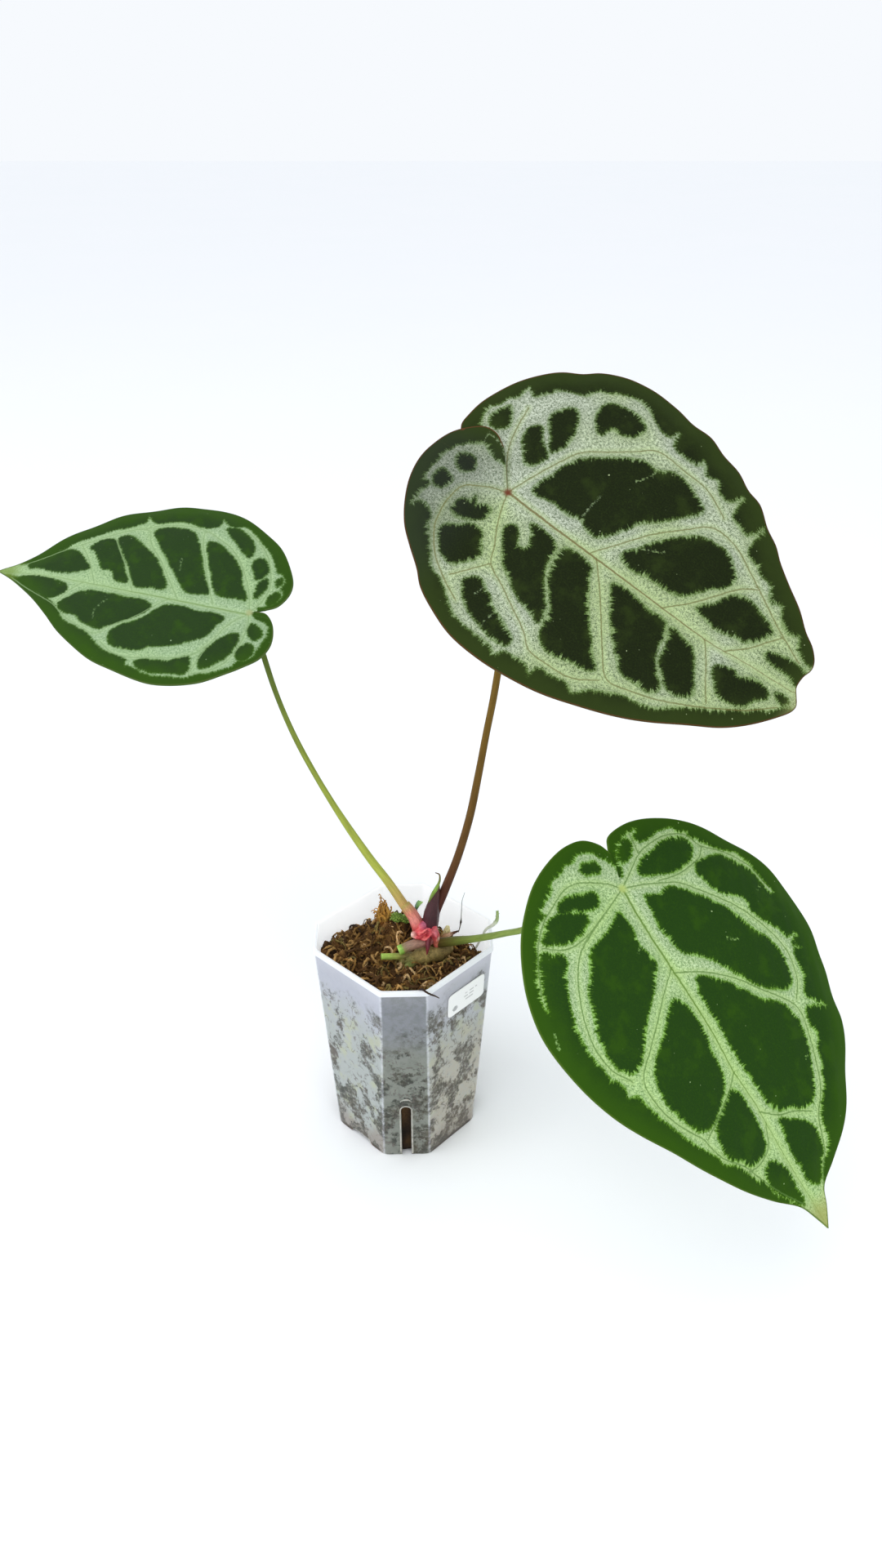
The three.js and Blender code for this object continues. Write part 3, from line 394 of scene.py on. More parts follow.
# Leaf patterns, read from the photograph, in millimetres in each blade's own frame:
# u runs from the junction to the tip and v across the blade. Outlines run from the notch
# to the tip. Rims bound the silver towards the margin, windows are the dark fields in it,
# veins are the lines along the silver, and threads are the thin silver veinlets.
UPPER_RIGHT = dict(
    junction=(40.2, -10, 307), tip=(140.55, -60, 247.8), facing=(0.028, -0.74, 0.672),
    width=60, arch=6, gull=5, sway=-3, lift=(-0.8, 3),
    outline=paired([
        [-27.5, 9.8, -30.3, 13, -30.5, 18, -29.5, 26, -25, 37, -18, 46, -13, 51, -7, 54.8, -2, 59,
         6, 62.2, 13, 63.6, 20, 64.2, 29, 63, 37, 60.5, 45, 60, 52, 57.2, 60, 55, 67, 50.5, 73, 48.5,
         80, 43, 86, 39.6, 91, 35, 98, 30, 106, 25.5, 112, 21, 117, 18, 120.5, 14, 121.2, 11, 120.4, 8,
         120.6, 3.5, 122.2, 1.5],
        [-11, 12, -16, 14.8, -21, 15, -26, 12, -30.5, 7.5, -33.2, 1, -33.7, -6, -31.5, -15.5, -27, -24.5,
         -22, -31, -16, -36, -8, -42, -3, -46.5, 6, -51, 17, -54.8, 30, -56, 43, -54.8, 55, -52.7,
         66, -49.2, 77, -44.6, 88, -38.8, 99, -31.5, 108, -25, 115, -18, 121, -10, 124.3, -4,
         124.3, -1.5, 122.2, 1.5],
    ]),
    rim=paired([
        [-15, 4, -22, 7.5, -23.5, 15, -25.8, 20, -25.5, 24.5, -23.5, 27, -22.5, 30.5, -19.8, 32.5,
         -18.5, 37.5, -15, 36, -12, 39, -9, 43, -5, 45, 0, 46.5, 2, 50.5, 6, 52.5, 10, 55, 16, 56.5,
         22, 55, 27, 52, 33, 50, 35, 54, 36, 49, 40, 47, 47, 47, 49, 49, 52, 45.5, 56, 46.5, 60, 42.5,
         64, 42, 67, 46, 68, 38.5, 72, 36.5, 76, 35.5, 79, 41, 80, 30.5, 85, 28.5, 88, 26.5, 92, 26,
         96, 21, 99.5, 22.5, 104, 17.5, 108, 16, 111, 18, 113, 14, 118, 11.8, 124, 12],
        [-3, 4, -6, 6.6, -10, 6.6, -14, 7.5, -17, 9.2, -19.5, 7.8, -23, 6, -25.5, 3.5, -27, 0, -27.5, -5,
         -27.5, -10, -26, -13.5, -23.5, -14, -24, -17, -24.5, -23.5, -23, -21.5, -20, -21, -17, -22.5,
         -15, -26, -12, -29.5, -8, -34, -4, -38.5, 1, -40.5, 5, -43, 10, -46.5, 15, -49, 22, -50,
         29, -50, 33, -51.5, 34, -49.5, 43, -48.5, 46.5, -51, 47, -47, 52, -46.5, 58, -45.5, 62, -47,
         64, -44, 70, -40, 75, -37.5, 80, -36.5, 86, -34.5, 90, -31, 94, -28, 99, -24, 103, -21,
         108, -17, 113, -13, 118, -9, 121, -5.5, 126, -3],
    ]),
    windows=paired([
        [
            [7, 4.5, 16, 5, 22, 4, 27, 5, 32, 3, 36, 3.5, 40, 8.5, 45, 16.5, 50, 21, 54, 26, 58.5, 31,
             58.5, 34, 54, 36.5, 48, 38.8, 42, 39, 37, 36, 32, 36.5, 26, 34, 19, 29, 14, 25, 11, 20,
             9, 14, 7, 9],
            [46, 2.5, 51, 0.8, 58, 1.8, 64, 2, 70, 3, 74, 7, 77, 11.5, 80.5, 15, 82, 19.5, 79, 23,
             75, 25.8, 68, 25.8, 62, 24, 57.5, 19.5, 54, 15.5, 51, 11.5, 49, 8, 46.5, 5.5],
            [77, 3.5, 82, 2, 87, 1.5, 93, 3, 98, 4.5, 101, 8, 103, 12.5, 101, 14.5, 97, 15.5, 91, 17,
             86, 16, 83, 12.5, 81, 8, 78.5, 6],
            [105, 5, 108, 4, 114, 4.2, 122, 4, 122, 8.8, 114, 9.5, 109, 8, 106, 6.5],
            [-9, 22.5, -8, 25.5, -5, 27, -2.5, 23.5, 1, 20.5, 3.5, 19, 2.5, 14.5, 0.5, 12, -2, 12,
             -5, 15.5, -8, 19],
            [-5.5, 33, -3, 37.5, 0.5, 40, 3.5, 37, 5, 33, 6.5, 28, 6, 24, 3.5, 20.5, 1.5, 22, -1, 26,
             -4, 29],
            [7, 44, 8.5, 49, 12, 50.3, 20, 51, 24.5, 48, 24, 43.5, 20, 40.5, 15.5, 40, 13.5, 36,
             11.5, 36.5, 8, 41],
            [-23.5, 21.5, -22, 26, -20, 28.5, -17, 25.5, -15, 21, -17, 19, -20, 18, -22.5, 19],
        ],
        [
            [-23, 0.5, -21, 3, -17, 3, -14.5, 0.5, -15, -2, -18, -4, -21, -2.5],
            [-25, -9, -24, -6.5, -21, -7, -18, -8.5, -18.5, -12, -21, -14, -24, -12.5],
            [-11.5, -13, -8, -11, -7.5, -9, -5.5, -11, -3, -9, -0.5, -9, 0, -13, -2, -15.5, -5, -17.5,
             -9, -19, -11.5, -17.5],
            [-10, -23, -6, -20.5, -3, -18, 2, -18, 4, -21, 7, -25, 6.5, -28.5, 4, -31, 1, -34, -4, -33,
             -8, -29.5, -10.5, -26],
            [8, -36, 11, -33, 14, -33, 17, -35, 19, -36, 22, -38.5, 26, -40, 31, -42, 34.5, -44.5,
             34, -47, 28, -48, 24, -47, 20, -46, 14, -43.5, 10, -40],
            [7.5, -12, 10, -9.5, 13, -12, 16, -15.5, 18.5, -14, 16.5, -9, 14, -5.5, 20, -5.2, 25, -7,
             27, -9, 28, -15, 29.5, -19, 34, -25, 37.5, -29, 38, -34, 33, -33, 26, -30.5, 20, -27,
             15, -23.5, 11, -18],
            [29, -6, 34, -5.5, 40, -6.5, 43, -12, 47, -18, 51, -23, 55, -27.5, 59, -32, 63, -36, 60, -38,
             54, -39, 48, -40.5, 44, -40, 41, -37.5, 39.5, -33, 39, -29, 35, -24, 31, -19, 29.5, -15,
             28.5, -9],
            [49.5, -7, 54, -6, 60, -6.5, 66, -7, 72, -7, 73.5, -10, 75, -15, 76.5, -20, 80, -24, 84, -28,
             82, -31, 76, -31.5, 70, -31.5, 67, -29, 62, -24.5, 57, -19, 53, -13],
            [74.5, -7.5, 80, -8, 85, -9.5, 88, -13, 91, -17.5, 94, -22, 91, -25.5, 86, -26.5, 82, -23.5,
             78, -20, 77, -15],
            [94, -9, 97, -7, 100, -6, 103, -7, 107, -4, 110, -3.5, 115, -6, 112, -10, 110, -14,
             105, -16.5, 101, -17, 97, -14, 94.5, -11.5],
            [116, -3, 120, -1.5, 122, -3, 120, -5, 117, -4.5],
        ],
    ]),
    midrib=paired([0, 0, 20, -1.8, 40, -2.8, 60, -3.4, 80, -3.5, 90, -3, 100, -1.3, 110, 0, 121, 1.5]),
    veins=paired([
        [0, 0, 4, 10, 8, 19, 12, 26.5, 20, 32.5, 28, 39, 33, 43, 45, 42.5, 56, 41, 66, 36],
        [37, -2, 43, 6, 50, 15.5, 58, 24, 65, 30.5, 75, 30, 85, 25, 95, 20, 105, 15, 116, 10.5],
        [68, -3.4, 75, 4, 80, 11, 85, 18, 90, 22],
        [94, -2, 100, 4, 104, 10, 107, 14],
        [0, 0, -5, 6, -10, 14, -12.5, 22, -14, 31],
        [0, 0, 2, -6, 5, -13, 9, -20, 12, -26, 20, -30.5, 28, -35, 36, -39.5, 41, -43.5, 48, -44,
         58, -43, 66, -38],
        [40, -3, 46, -10, 54, -20, 61, -29, 68, -36, 76, -34.5, 86, -31, 95, -26, 104, -20, 112, -14,
         119, -7],
        [86, -3.3, 91, -10, 95, -16, 99, -21],
        [0, 0, -5, -2, -10, -5.5, -13.5, -8, -15, -15, -14, -22, -12.5, -26, -6, -34, 2, -39.5,
         10, -43.5],
        [12, -26, 8, -31, 3, -37],
    ]),
    threads=paired([
        [27, 4, 27, 10, 27.3, 16],
        [27, -6, 28, -14, 29.5, -18, 34, -24, 38, -29.5, 38.5, -35],
        [73, -6, 75, -14, 77, -20, 82, -25, 85, -28],
        [16, -33, 14.5, -38],
        [23.5, -40, 23, -46.5],
        [37.5, 38, 37, 33, 34, 28],
        [49, 8.5, 53, 10, 57, 12.3],
        [-19, 13.5, -18, 10, -17, 7],
        [-17, 13.3, -12, 12.2, -9, 9.5],
    ]),
)
LOWER_RIGHT = dict(
    junction=(83.6, -65, 175.6), tip=(158.1, -132, 72.5), facing=(0.4, -0.609, 0.685),
    width=62, arch=7, gull=6, sway=-5.5, lift=(0, 1.4),
    outline=paired([
        [-14.5, 5.2, -18.3, 8, -19.3, 16, -17.5, 24.5, -13, 33.5, -7.5, 40.5, -1, 46.6, 8, 53, 17, 59,
         27, 63.4, 36, 65, 44, 65.2, 54, 63.8, 63, 60.5, 71, 58.2, 80, 53.2, 88, 50.6, 96, 45.8,
         104, 38.5, 112, 31.2, 119, 23.2, 125, 14, 130, 5.2, 136, 2.6, 143.8, -0.6],
        [-13, 4.1, -18, 2.4, -22.5, -2, -24.2, -9.5, -22.8, -20, -18.5, -31.5, -11, -41.2, -2, -49.2,
         10, -56.8, 22, -60.4, 34, -61.3, 47, -60, 60, -56, 72, -50.5, 85, -42.6, 98, -34.8, 110, -26.8,
         121, -17, 130, -7.8, 137, -4, 143.8, -0.6],
    ]),
    rim=paired([
        [-4, 3, -8, 5, -11, 6.5, -14, 10, -15.5, 13, -15.8, 17, -15.5, 20, -13, 16.8, -10.5, 18.5,
         -10, 22, -10.5, 27, -9, 32, -8, 34.5, -6, 34, -4, 38, -1, 38, 0, 40, 3, 41.5, 5, 43.5, 8, 46.5,
         11, 50, 13, 52.5, 20, 54.8, 28, 57, 35, 57.5, 33, 55.5, 28, 54.5, 22, 53.3, 17, 50, 13, 47,
         9.5, 43.5, 8.3, 38, 8.3, 32, 10, 30, 14, 30.5, 18, 31.5, 22, 34, 25, 37.5, 27.5, 41, 29, 41.5,
         34, 41.5, 38, 43, 42, 45, 46, 47.5, 50, 49, 51.5, 54, 53.5, 49.5, 57, 53, 56, 49, 62, 46.5,
         66, 45, 69, 42, 71, 40.5, 75, 43, 80, 47.5, 76, 41, 75, 37, 80, 35.5, 86, 35, 89, 32.5,
         94, 30.5, 97, 28, 101, 26, 104, 23, 108, 19, 112, 17.5, 116, 17, 120, 14.5, 124, 9.8,
         127.5, 6.8, 131, 6],
        [-3, 2, -7, 2.5, -11, 1, -15, -1, -17, -3, -19.5, -8, -18, -12, -19, -16, -17, -20, -17, -24,
         -13.5, -27, -12, -31, -10.5, -34, -9.5, -35, -8, -34, -7, -38, -4, -41, -1, -44, 2, -46,
         5, -48.5, 8, -50.5, 12, -52.5, 16, -54.5, 21, -54.7, 16, -53, 12, -51.3, 8, -49, 4, -45.5,
         2, -43.5, 4, -41.5, 7, -38, 10, -38.5, 13, -41.5, 16, -43.5, 20, -46, 26, -48.5, 32, -50,
         38, -51, 44, -50.5, 50, -49.5, 55, -47, 59, -48.5, 60, -44.5, 65, -43.5, 70, -42, 77, -39.5,
         82, -37, 88, -34, 94, -30.5, 98, -29.5, 100, -26, 104, -23.5, 110, -20.5, 113, -17.5,
         118, -16.5, 122, -13.5, 128, -9.3, 132, -9],
    ]),
    windows=paired([
        [
            [-15, 14, -12.5, 14.5, -9.5, 12.5, -7.5, 8.5, -7.5, 6, -10, 5.5, -13, 8, -14.8, 11],
            [-5, 14, -5.5, 20, -6, 26, -5, 31, -2.5, 35, 1, 36.3, 4, 33.5, 6, 27, 5.5, 22, 3, 16,
             0.5, 10, -1.5, 9, -3.5, 11],
            [6.5, 5, 12, 4, 17, 2.5, 22, 2.5, 27, 3, 31, 4.5, 35, 8.5, 40, 13, 44, 15.5, 50, 19,
             55, 22.5, 60, 27, 63, 31, 65, 35, 64, 38, 60, 40, 56, 41.5, 50, 41.5, 45, 39.5, 40, 36.5,
             33, 34, 26, 30.5, 20, 26.5, 15, 22.5, 11, 18.5, 8.5, 14.5, 9, 10, 7, 7],
            [41, 3.5, 45, 0.5, 50, 0, 60, 0, 70, -0.8, 80, -0.5, 88, 0, 94, 1, 97, 4, 99, 8, 102, 12.5,
             102.5, 17, 100, 20.5, 95, 23.5, 90, 26, 85, 29, 79, 30.5, 73, 30.3, 68, 28.5, 64, 24.5,
             60, 20, 54, 16, 48, 11.5, 43, 7],
            [100, 1.5, 103, 6.5, 107, 11, 111, 13, 115, 13, 119, 11.5, 123, 8, 127, 4.5, 126.5, 1.5,
             122, 0.5, 112, 0, 104, 0.3],
        ],
        [
            [-15, -7, -14.5, -4.5, -12, -3.5, -9.5, -5, -10.5, -8, -12, -11, -15, -11, -16, -9],
            [-5, -12, -3, -11.5, -0.5, -14, -0.5, -18, -2.5, -22, -4, -26, -5.5, -28.5, -8, -27.5,
             -9, -22.5, -7, -16.5],
            [-1, -21, 2, -21.5, 4, -24.5, 5, -29, 4, -34, 2, -38, 0, -41, -3, -38.5, -5.5, -34,
             -5.5, -29.5, -4, -25],
            [6, -8, 10, -8, 14, -8, 18, -9.5, 23, -9, 28, -8, 31, -11, 35, -16, 39, -22, 43, -27,
             48, -32, 52, -37, 53, -41, 50, -44, 44, -45.5, 38, -45, 32, -43, 27, -40.5, 22, -38,
             18, -34, 14, -31, 11, -27, 10, -21, 8, -14],
            [42, -10.5, 46, -7.5, 52, -6.5, 58, -7, 64, -8.5, 70, -9.5, 75, -10.5, 79, -14, 82, -20,
             84.5, -26, 83, -31, 78, -33.5, 73, -35.5, 66, -36.5, 61, -35.5, 57, -34, 52.5, -28, 48, -21,
             44, -15],
            [80, -9.5, 84, -7.5, 92, -7.5, 100, -8, 104, -10, 105, -15, 105, -19.5, 101, -22, 98, -25.5,
             93, -26.5, 88, -25.5, 85, -22, 82, -16],
            [109.5, -10, 113, -7.5, 118, -6, 123, -6.5, 129, -6.3, 126, -9.5, 122, -12.5, 117, -15,
             112, -15.5, 109.5, -13.5],
        ],
    ]),
    midrib=paired([0, 0, 10, -1.5, 20, -2.5, 40, -3.2, 60, -3.7, 75, -4.7, 90, -3.8, 105, -3.8, 120, -3,
                   132, -1.8, 143, -0.8]),
    veins=paired([
        [0, 0, 3, 8, 6, 14, 10, 21, 16, 26, 22, 31, 28, 35.5, 35, 39.5, 42, 42.5, 50, 45, 57, 45, 64, 42,
         70, 36],
        [35, -3, 41, 7, 50, 17, 59, 24, 66, 30, 71, 33.5, 77, 34, 85, 31.5, 93, 28, 102, 23, 108, 17.5,
         114, 15, 120, 12.5, 126, 7.5, 131, 4],
        [93, -3.7, 98, 2, 101, 9, 105, 15],
        [0, 0, -4, 8, -7, 14, -8, 22, -7, 30, -3, 37, 3, 39.5, 9, 46, 14, 50.5, 22, 55, 30, 56.5],
        [5, 14, 7, 22, 7.2, 30, 6.5, 36, 4, 40],
        [-7, 14, -11, 15.5, -15, 16.5],
        [0, 0, 1.5, -6, 4, -15, 7, -25, 10, -32, 16, -38, 24, -43, 32, -46.5, 40, -48, 48, -47, 55, -43],
        [33, -3, 38, -12, 44, -21, 50, -30, 57, -39, 66, -40, 76, -37, 86, -31],
        [76, -4.7, 80, -12, 83, -19, 87, -29],
        [98, -4, 105, -9, 107, -16, 106, -21],
        [86, -31, 95, -28.5, 104, -21.5, 114, -16.5, 123, -11, 130, -6],
        [0, 0, -4, -4, -8, -10, -11, -16, -11.5, -22, -9, -29, -6, -36, -1, -42.5, 6, -48, 14, -53],
        [3, -12, 6, -24, 6.5, -32, 5, -37, 1, -42],
    ]),
    threads=paired([
        [29, 54.5, 29.5, 50],
        [19, -7, 21, -12],
        [27, -57, 32, -59],
        [36, 23, 39, 27],
        [88, 26, 88.5, 23.5],
    ]),
)
LEFT = dict(
    junction=(-66.1, 60, 231.9), tip=(-187.3, 105, 233.2), facing=(-0.162, -0.462, 0.872),
    width=52, arch=6, gull=5, sway=3.5, lift=(0, 0),
    outline=paired([
        [-2.5, -1.2, -7, -1.4, -11, 1.8, -13.8, 7.5, -14.8, 14, -13, 22, -7.5, 28.6, 0, 34.4, 8, 40.4,
         16, 44, 25, 45.6, 35, 45.4, 46, 43.9, 57, 41.2, 68, 36.5, 79, 30.4, 90, 22.4, 100, 15.6,
         110, 9.6, 118, 5.4, 131, -0.4],
        [-6, -3.2, -10.6, -6.2, -13.2, -12.5, -12.6, -19.6, -8, -28, -1, -36.2, 10, -43.8, 22, -49.4,
         35, -52.4, 46, -50.8, 58, -48.4, 70, -42.6, 82, -36, 93, -27.4, 104, -17.4, 114, -8.6,
         121, -3.6, 131, -0.4],
    ]),
    rim=paired([
        [-1, 0, -4, 2, -8, 3, -10.5, 4.5, -11.8, 8, -11.8, 14, -11.3, 18, -10.8, 22, -8, 25.5, -6, 25.8,
         -3.8, 29.5, -1, 31.3, 4, 34.5, 8, 36.5, 13, 39.8, 20, 41.5, 27, 42.5, 33, 42, 38, 41, 40, 41.5,
         41, 38, 46, 37, 52, 36, 58, 33, 62, 30.5, 68, 28, 76, 25.5, 80, 23.5, 84, 20.5, 88, 17.5,
         94, 14.5, 100, 12.3, 105, 10.2, 110, 7.6, 114, 5.6, 118, 4.6, 124, 4],
        [-3, -3, -6, -4.5, -10, -8.5, -11, -13.5, -9, -15, -9.5, -19, -7, -22.5, -4.5, -23, -2, -27,
         1, -31, 4, -34, 8, -37, 12, -40, 17, -43.5, 20, -44.5, 24, -42.5, 28, -43.5, 32, -47, 31, -42,
         34, -39.5, 38, -39, 43, -39.5, 48, -40, 54, -38.5, 60, -36.5, 64, -38, 67, -41, 66, -35.5,
         72, -31.5, 77, -29.5, 82, -27, 86, -24.5, 90, -21.5, 95, -19, 99, -15.5, 103, -13.5, 107, -11,
         111, -8, 115, -6.5, 120, -6],
    ]),
    windows=paired([
        [
            [-10, 10.5, -8.5, 13.5, -5.5, 12.5, -3, 8.5, -3.5, 5.5, -7, 6.5, -9.5, 8.5],
            [-9.5, 18, -9.5, 22, -7, 25, -4.5, 24.5, -3, 21.5, -4.5, 17.5, -7, 16],
            [-1.5, 16, -1, 22, 1.5, 27, 5, 31, 8.5, 33.5, 10.5, 28.5, 9, 23, 6, 18, 3, 14.5, 0, 12.5],
            [13, 35, 14, 38, 18, 39.3, 24, 40, 28, 41.2, 33, 40.8, 36.5, 38.5, 34, 36.3, 28, 34.8,
             23, 34, 19, 31.5, 15, 29.8, 13.5, 32.5],
            [9, 6.5, 14, 5.5, 20, 6.5, 26, 6, 32, 6, 36, 7, 39, 10.5, 42, 15.5, 47, 19.5, 52, 24,
             53.5, 28, 52, 31.5, 47, 33, 41, 33, 36, 31.5, 33, 29.5, 28, 28, 22, 25.5, 16, 21.5, 12, 17,
             10.5, 12],
            [42, 9, 46, 7, 52, 6.8, 60, 6.5, 68, 6.5, 74, 6.5, 79, 8.5, 82, 12.5, 85, 17, 81, 20,
             75, 20.5, 70, 23.5, 65, 25, 60, 26, 56, 23, 51, 20, 47, 16.5, 43.5, 12.5],
            [87, 7.5, 89, 11.5, 93, 13, 99, 10.8, 105, 8.5, 111, 6, 114, 4.5, 108, 3, 100, 3.2, 93, 3.8,
             88.5, 5.5],
        ],
        [
            [-9.8, -11, -9.5, -8, -6.5, -5.5, -5, -8, -7, -12, -9, -13.5],
            [-8.6, -18, -7, -15.5, -5.5, -18, -7.5, -20.6],
            [-2.5, -12, -1, -8, 0.5, -7, 1, -11, 0.5, -16, -1.5, -18, -2.5, -15.5],
            [-0.5, -22, 0.5, -18, 3, -16.5, 5, -19.5, 7, -23, 6.5, -27, 3.5, -28.5, 1, -25.5],
            [3.5, -5.5, 9, -4.5, 16, -4, 19, -7, 22, -12, 26, -19, 30, -26, 31.5, -30, 27, -30.5,
             22, -28, 16, -24, 11, -18.5, 8, -12],
            [20.5, -4, 24, -2.5, 30, -2, 34, -5.5, 38, -9, 44, -15, 50, -21, 55, -26.5, 58.5, -31,
             54, -34.5, 48, -35.5, 41, -34.5, 37, -30.5, 33, -25, 28, -16, 24, -9.5],
            [40, -1.5, 46, -0.5, 54, 0, 58, -4, 62, -9.5, 67, -15, 72, -21, 74, -24, 69, -26, 63, -23.5,
             56, -19, 50, -15, 45, -9.5],
            [59, -1, 65, -1.5, 68, -5, 74, -6, 77, -9.5, 81, -14, 84.5, -17, 81, -21, 76, -22.5,
             72, -18.5, 66, -12, 62, -6],
            [81, -5.5, 85, -3.5, 90, -2.5, 96, -2.5, 103, -3.5, 112, -4.5, 106, -7.5, 104, -11, 97, -13,
             91, -12.5, 86, -9.5],
            [10, -27, 14, -29, 19, -33, 24, -37, 27, -40.5, 24, -42, 18, -40.5, 13, -36.5, 10, -31.5],
        ],
    ]),
    midrib=paired([0, 1, 20, 2.3, 40, 2.8, 60, 2.8, 80, 2, 100, 0.7, 130, -0.5]),
    veins=paired([
        [0, 0, 6, 10, 9, 20, 14, 28, 22, 32, 32, 34.5, 40, 36.5, 48, 36, 56, 32],
        [37, 2.8, 42, 10, 48, 17.5, 55, 23, 60, 28.5, 70, 26, 80, 22, 88, 17, 98, 13, 110, 8, 120, 3.5],
        [81, 2, 85, 8, 86.5, 13, 88, 17],
        [0, 1, -2, 6, -3, 14, -2.5, 22, 0, 28, 5, 33.5, 11, 37],
        [9, 20, 11, 30, 12, 37],
        [0, 0, 3, -8, 7, -15, 12, -22, 19, -29, 27, -33.5, 36, -37, 46, -38, 56, -36, 64, -32],
        [17, 0, 22, -8, 28, -19, 34, -30, 36, -36],
        [33, 2, 40, -6, 48, -15, 57, -23.5, 62, -31, 72, -29, 80, -24.5, 88, -19, 98, -14, 108, -8.5,
         118, -3],
        [55, 2.5, 62, -7.5, 70, -17, 76, -24],
        [75, 1.5, 80, -6, 86, -13, 90, -17],
        [0, 0, -3, -6, -4, -14, -2, -21, 3, -30, 10, -37, 18, -42],
    ]),
    threads=paired([
        [65, 21, 66, 16, 63, 10],
        [27, -37, 31, -44],
        [37, -12, 39, -18],
    ]),
)
LEAVES = {"upper_right": UPPER_RIGHT, "lower_right": LOWER_RIGHT, "left": LEFT}

BLADE_THICK = 0.8
EDGE_WAVE = 0.5
EDGE_WAVES = 6.5
# Steps along each half of a blade's edge, and from the junction out to it on either face
STATIONS = 200
TOP_RINGS = 150
UNDER_RINGS = 36
# How deep the blade is sunk, which keeps its pillows close to the CAD's face
SINK = 0.25
# Farther out than any blade reaches
FAR = 400
# Angles off the rib, in radians, at which a lobe starts to lift and is fully lifted
LOBE_LIFT = (1.75, 2.65)
# Angle off the rib past which a point has the silver of its own half alone
FRONT_ANGLE = 1.55
# What a face without silver has as its depth in it, and as its distance to a thread
NO_SILVER = -9.0
NO_THREAD = 9.0


def sampled(path, closed=False, spacing=0.15):
    """Closely spaced points on a smooth curve through a path, with the way it runs at each."""
    length = np.linalg.norm(np.diff(np.array(path, float), axis=0), axis=1).sum()
    line = smooth_path(path, max(int(length / spacing), 4), closed)
    ahead = np.roll(line, -1, 0) - line
    if not closed:
        ahead[-1] = ahead[-2]
    return line, ahead


def nearest(points, paths, closed=()):
    """Distance from each point to the nearest of some paths, that place, and the signed distance."""
    lines = [sampled(path, i in closed) for i, path in enumerate(paths)]
    places = np.vstack([line for line, _ in lines])
    ahead = np.vstack([run for _, run in lines])
    tree = KDTree(len(places))
    for i, (u, v) in enumerate(places):
        tree.insert((u, v, 0), i)
    tree.balance()
    index = np.array([tree.find((u, v, 0))[1] for u, v in points])
    gap = points - places[index]
    distance = np.hypot(gap[:, 0], gap[:, 1])
    side = ahead[index, 0] * gap[:, 1] - ahead[index, 1] * gap[:, 0]
    return distance, places[index], np.sign(side) * distance


def inside(points, polygon):
    x, y = points.T
    odd = np.zeros(len(points), bool)
    for (ax, ay), (bx, by) in zip(polygon, np.roll(polygon, -1, 0)):
        if ay != by:
            odd ^= ((ay > y) != (by > y)) & (x < (bx - ax) * (y - ay) / (by - ay) + ax)
    return odd


def rounded(path, closed):
    """The path with its corners softened, but still passing through its points."""
    return smooth_path(path, len(path) * 3, closed)


def silver_field(points, leaf, sides):
    """How far inside the silver each point is, and the nearest place on its edge."""
    silver = np.ones(len(points), bool)
    paths, closed = [], []
    for side in sides:
        rim = leaf["rim"][side]
        across = FAR if side else -FAR
        edge = np.vstack([rounded(rim, False), [[FAR, rim[-1][1]], [FAR, across], [rim[0][0], across]]])
        silver &= inside(points, edge)
        paths.append(rim)
        for window in leaf["windows"][side]:
            silver &= ~inside(points, rounded(window, True))
            closed.append(len(paths))
            paths.append(window)
    distance, foot, _ = nearest(points, paths, closed)
    return np.where(silver, distance, -distance), foot


def leaf_axes(leaf):
    """A blade's junction, the ways along it, across it and out of it, and its length."""
    origin = np.array(leaf["junction"], float)
    ahead = leaf["tip"] - origin
    length = np.linalg.norm(ahead)
    ahead = ahead / length
    normal = np.array(leaf["facing"], float)
    normal = unit(normal - ahead * (normal @ ahead))
    return origin, ahead, np.cross(normal, ahead), normal, length


def blade_height(leaf, length, u, v, angle, lift):
    """The blade's height over its plane, as the CAD blade has it."""
    s = u / length
    on_rib = np.clip(s, 0, 1)
    sway = v - leaf["sway"] * 4 * on_rib * (1 - on_rib)
    t = np.sqrt(sway**2 + 2) / leaf["width"]
    raised = lift * step(angle, *LOBE_LIFT) * step(np.hypot(u, v), 0, 14)
    return 4 * leaf["arch"] * s * (1 - s) + leaf["gull"] * (1.6 * t - 2.1 * t * t) + raised


def junction_height(leaf):
    return blade_height(leaf, 1.0, 0.0, 0.0, 0.0, 0.0)


def half_grid(leaf, half, rings):
    """One half of a blade by stations from the notch: u, v, height, angle off the rib and half."""
    rim = smooth_path(leaf["outline"][half], STATIONS + 1)
    share = np.linspace(0, 1, rings + 1)[1:]
    u, v = rim[:, :1] * share, rim[:, 1:] * share
    angle = np.arctan2(-v if half else v, u)
    # the part of a lobe that reaches over the notch counts on past half a turn
    angle = np.abs(np.where(angle < -1.2, angle + FULL_TURN, angle))
    wave = EDGE_WAVE * np.sin(FULL_TURN * EDGE_WAVES * np.linspace(0, 1, STATIONS + 1))
    height = blade_height(leaf, leaf_axes(leaf)[4], u, v, angle, leaf["lift"][half])
    grid = np.stack([u, v, height + wave[:, None] * share**5, angle, np.full(u.shape, half)], -1)
    return grid[: STATIONS + 1 - half].reshape(-1, 5)


def face_row(start, rings, half, station):
    """The points of one face of a blade from its junction out to a station; both halves share the tip."""
    past = (STATIONS + 1) * rings if half and station < STATIONS else 0
    first = start + 1 + past + station * rings
    return [start, *range(first, first + rings)]


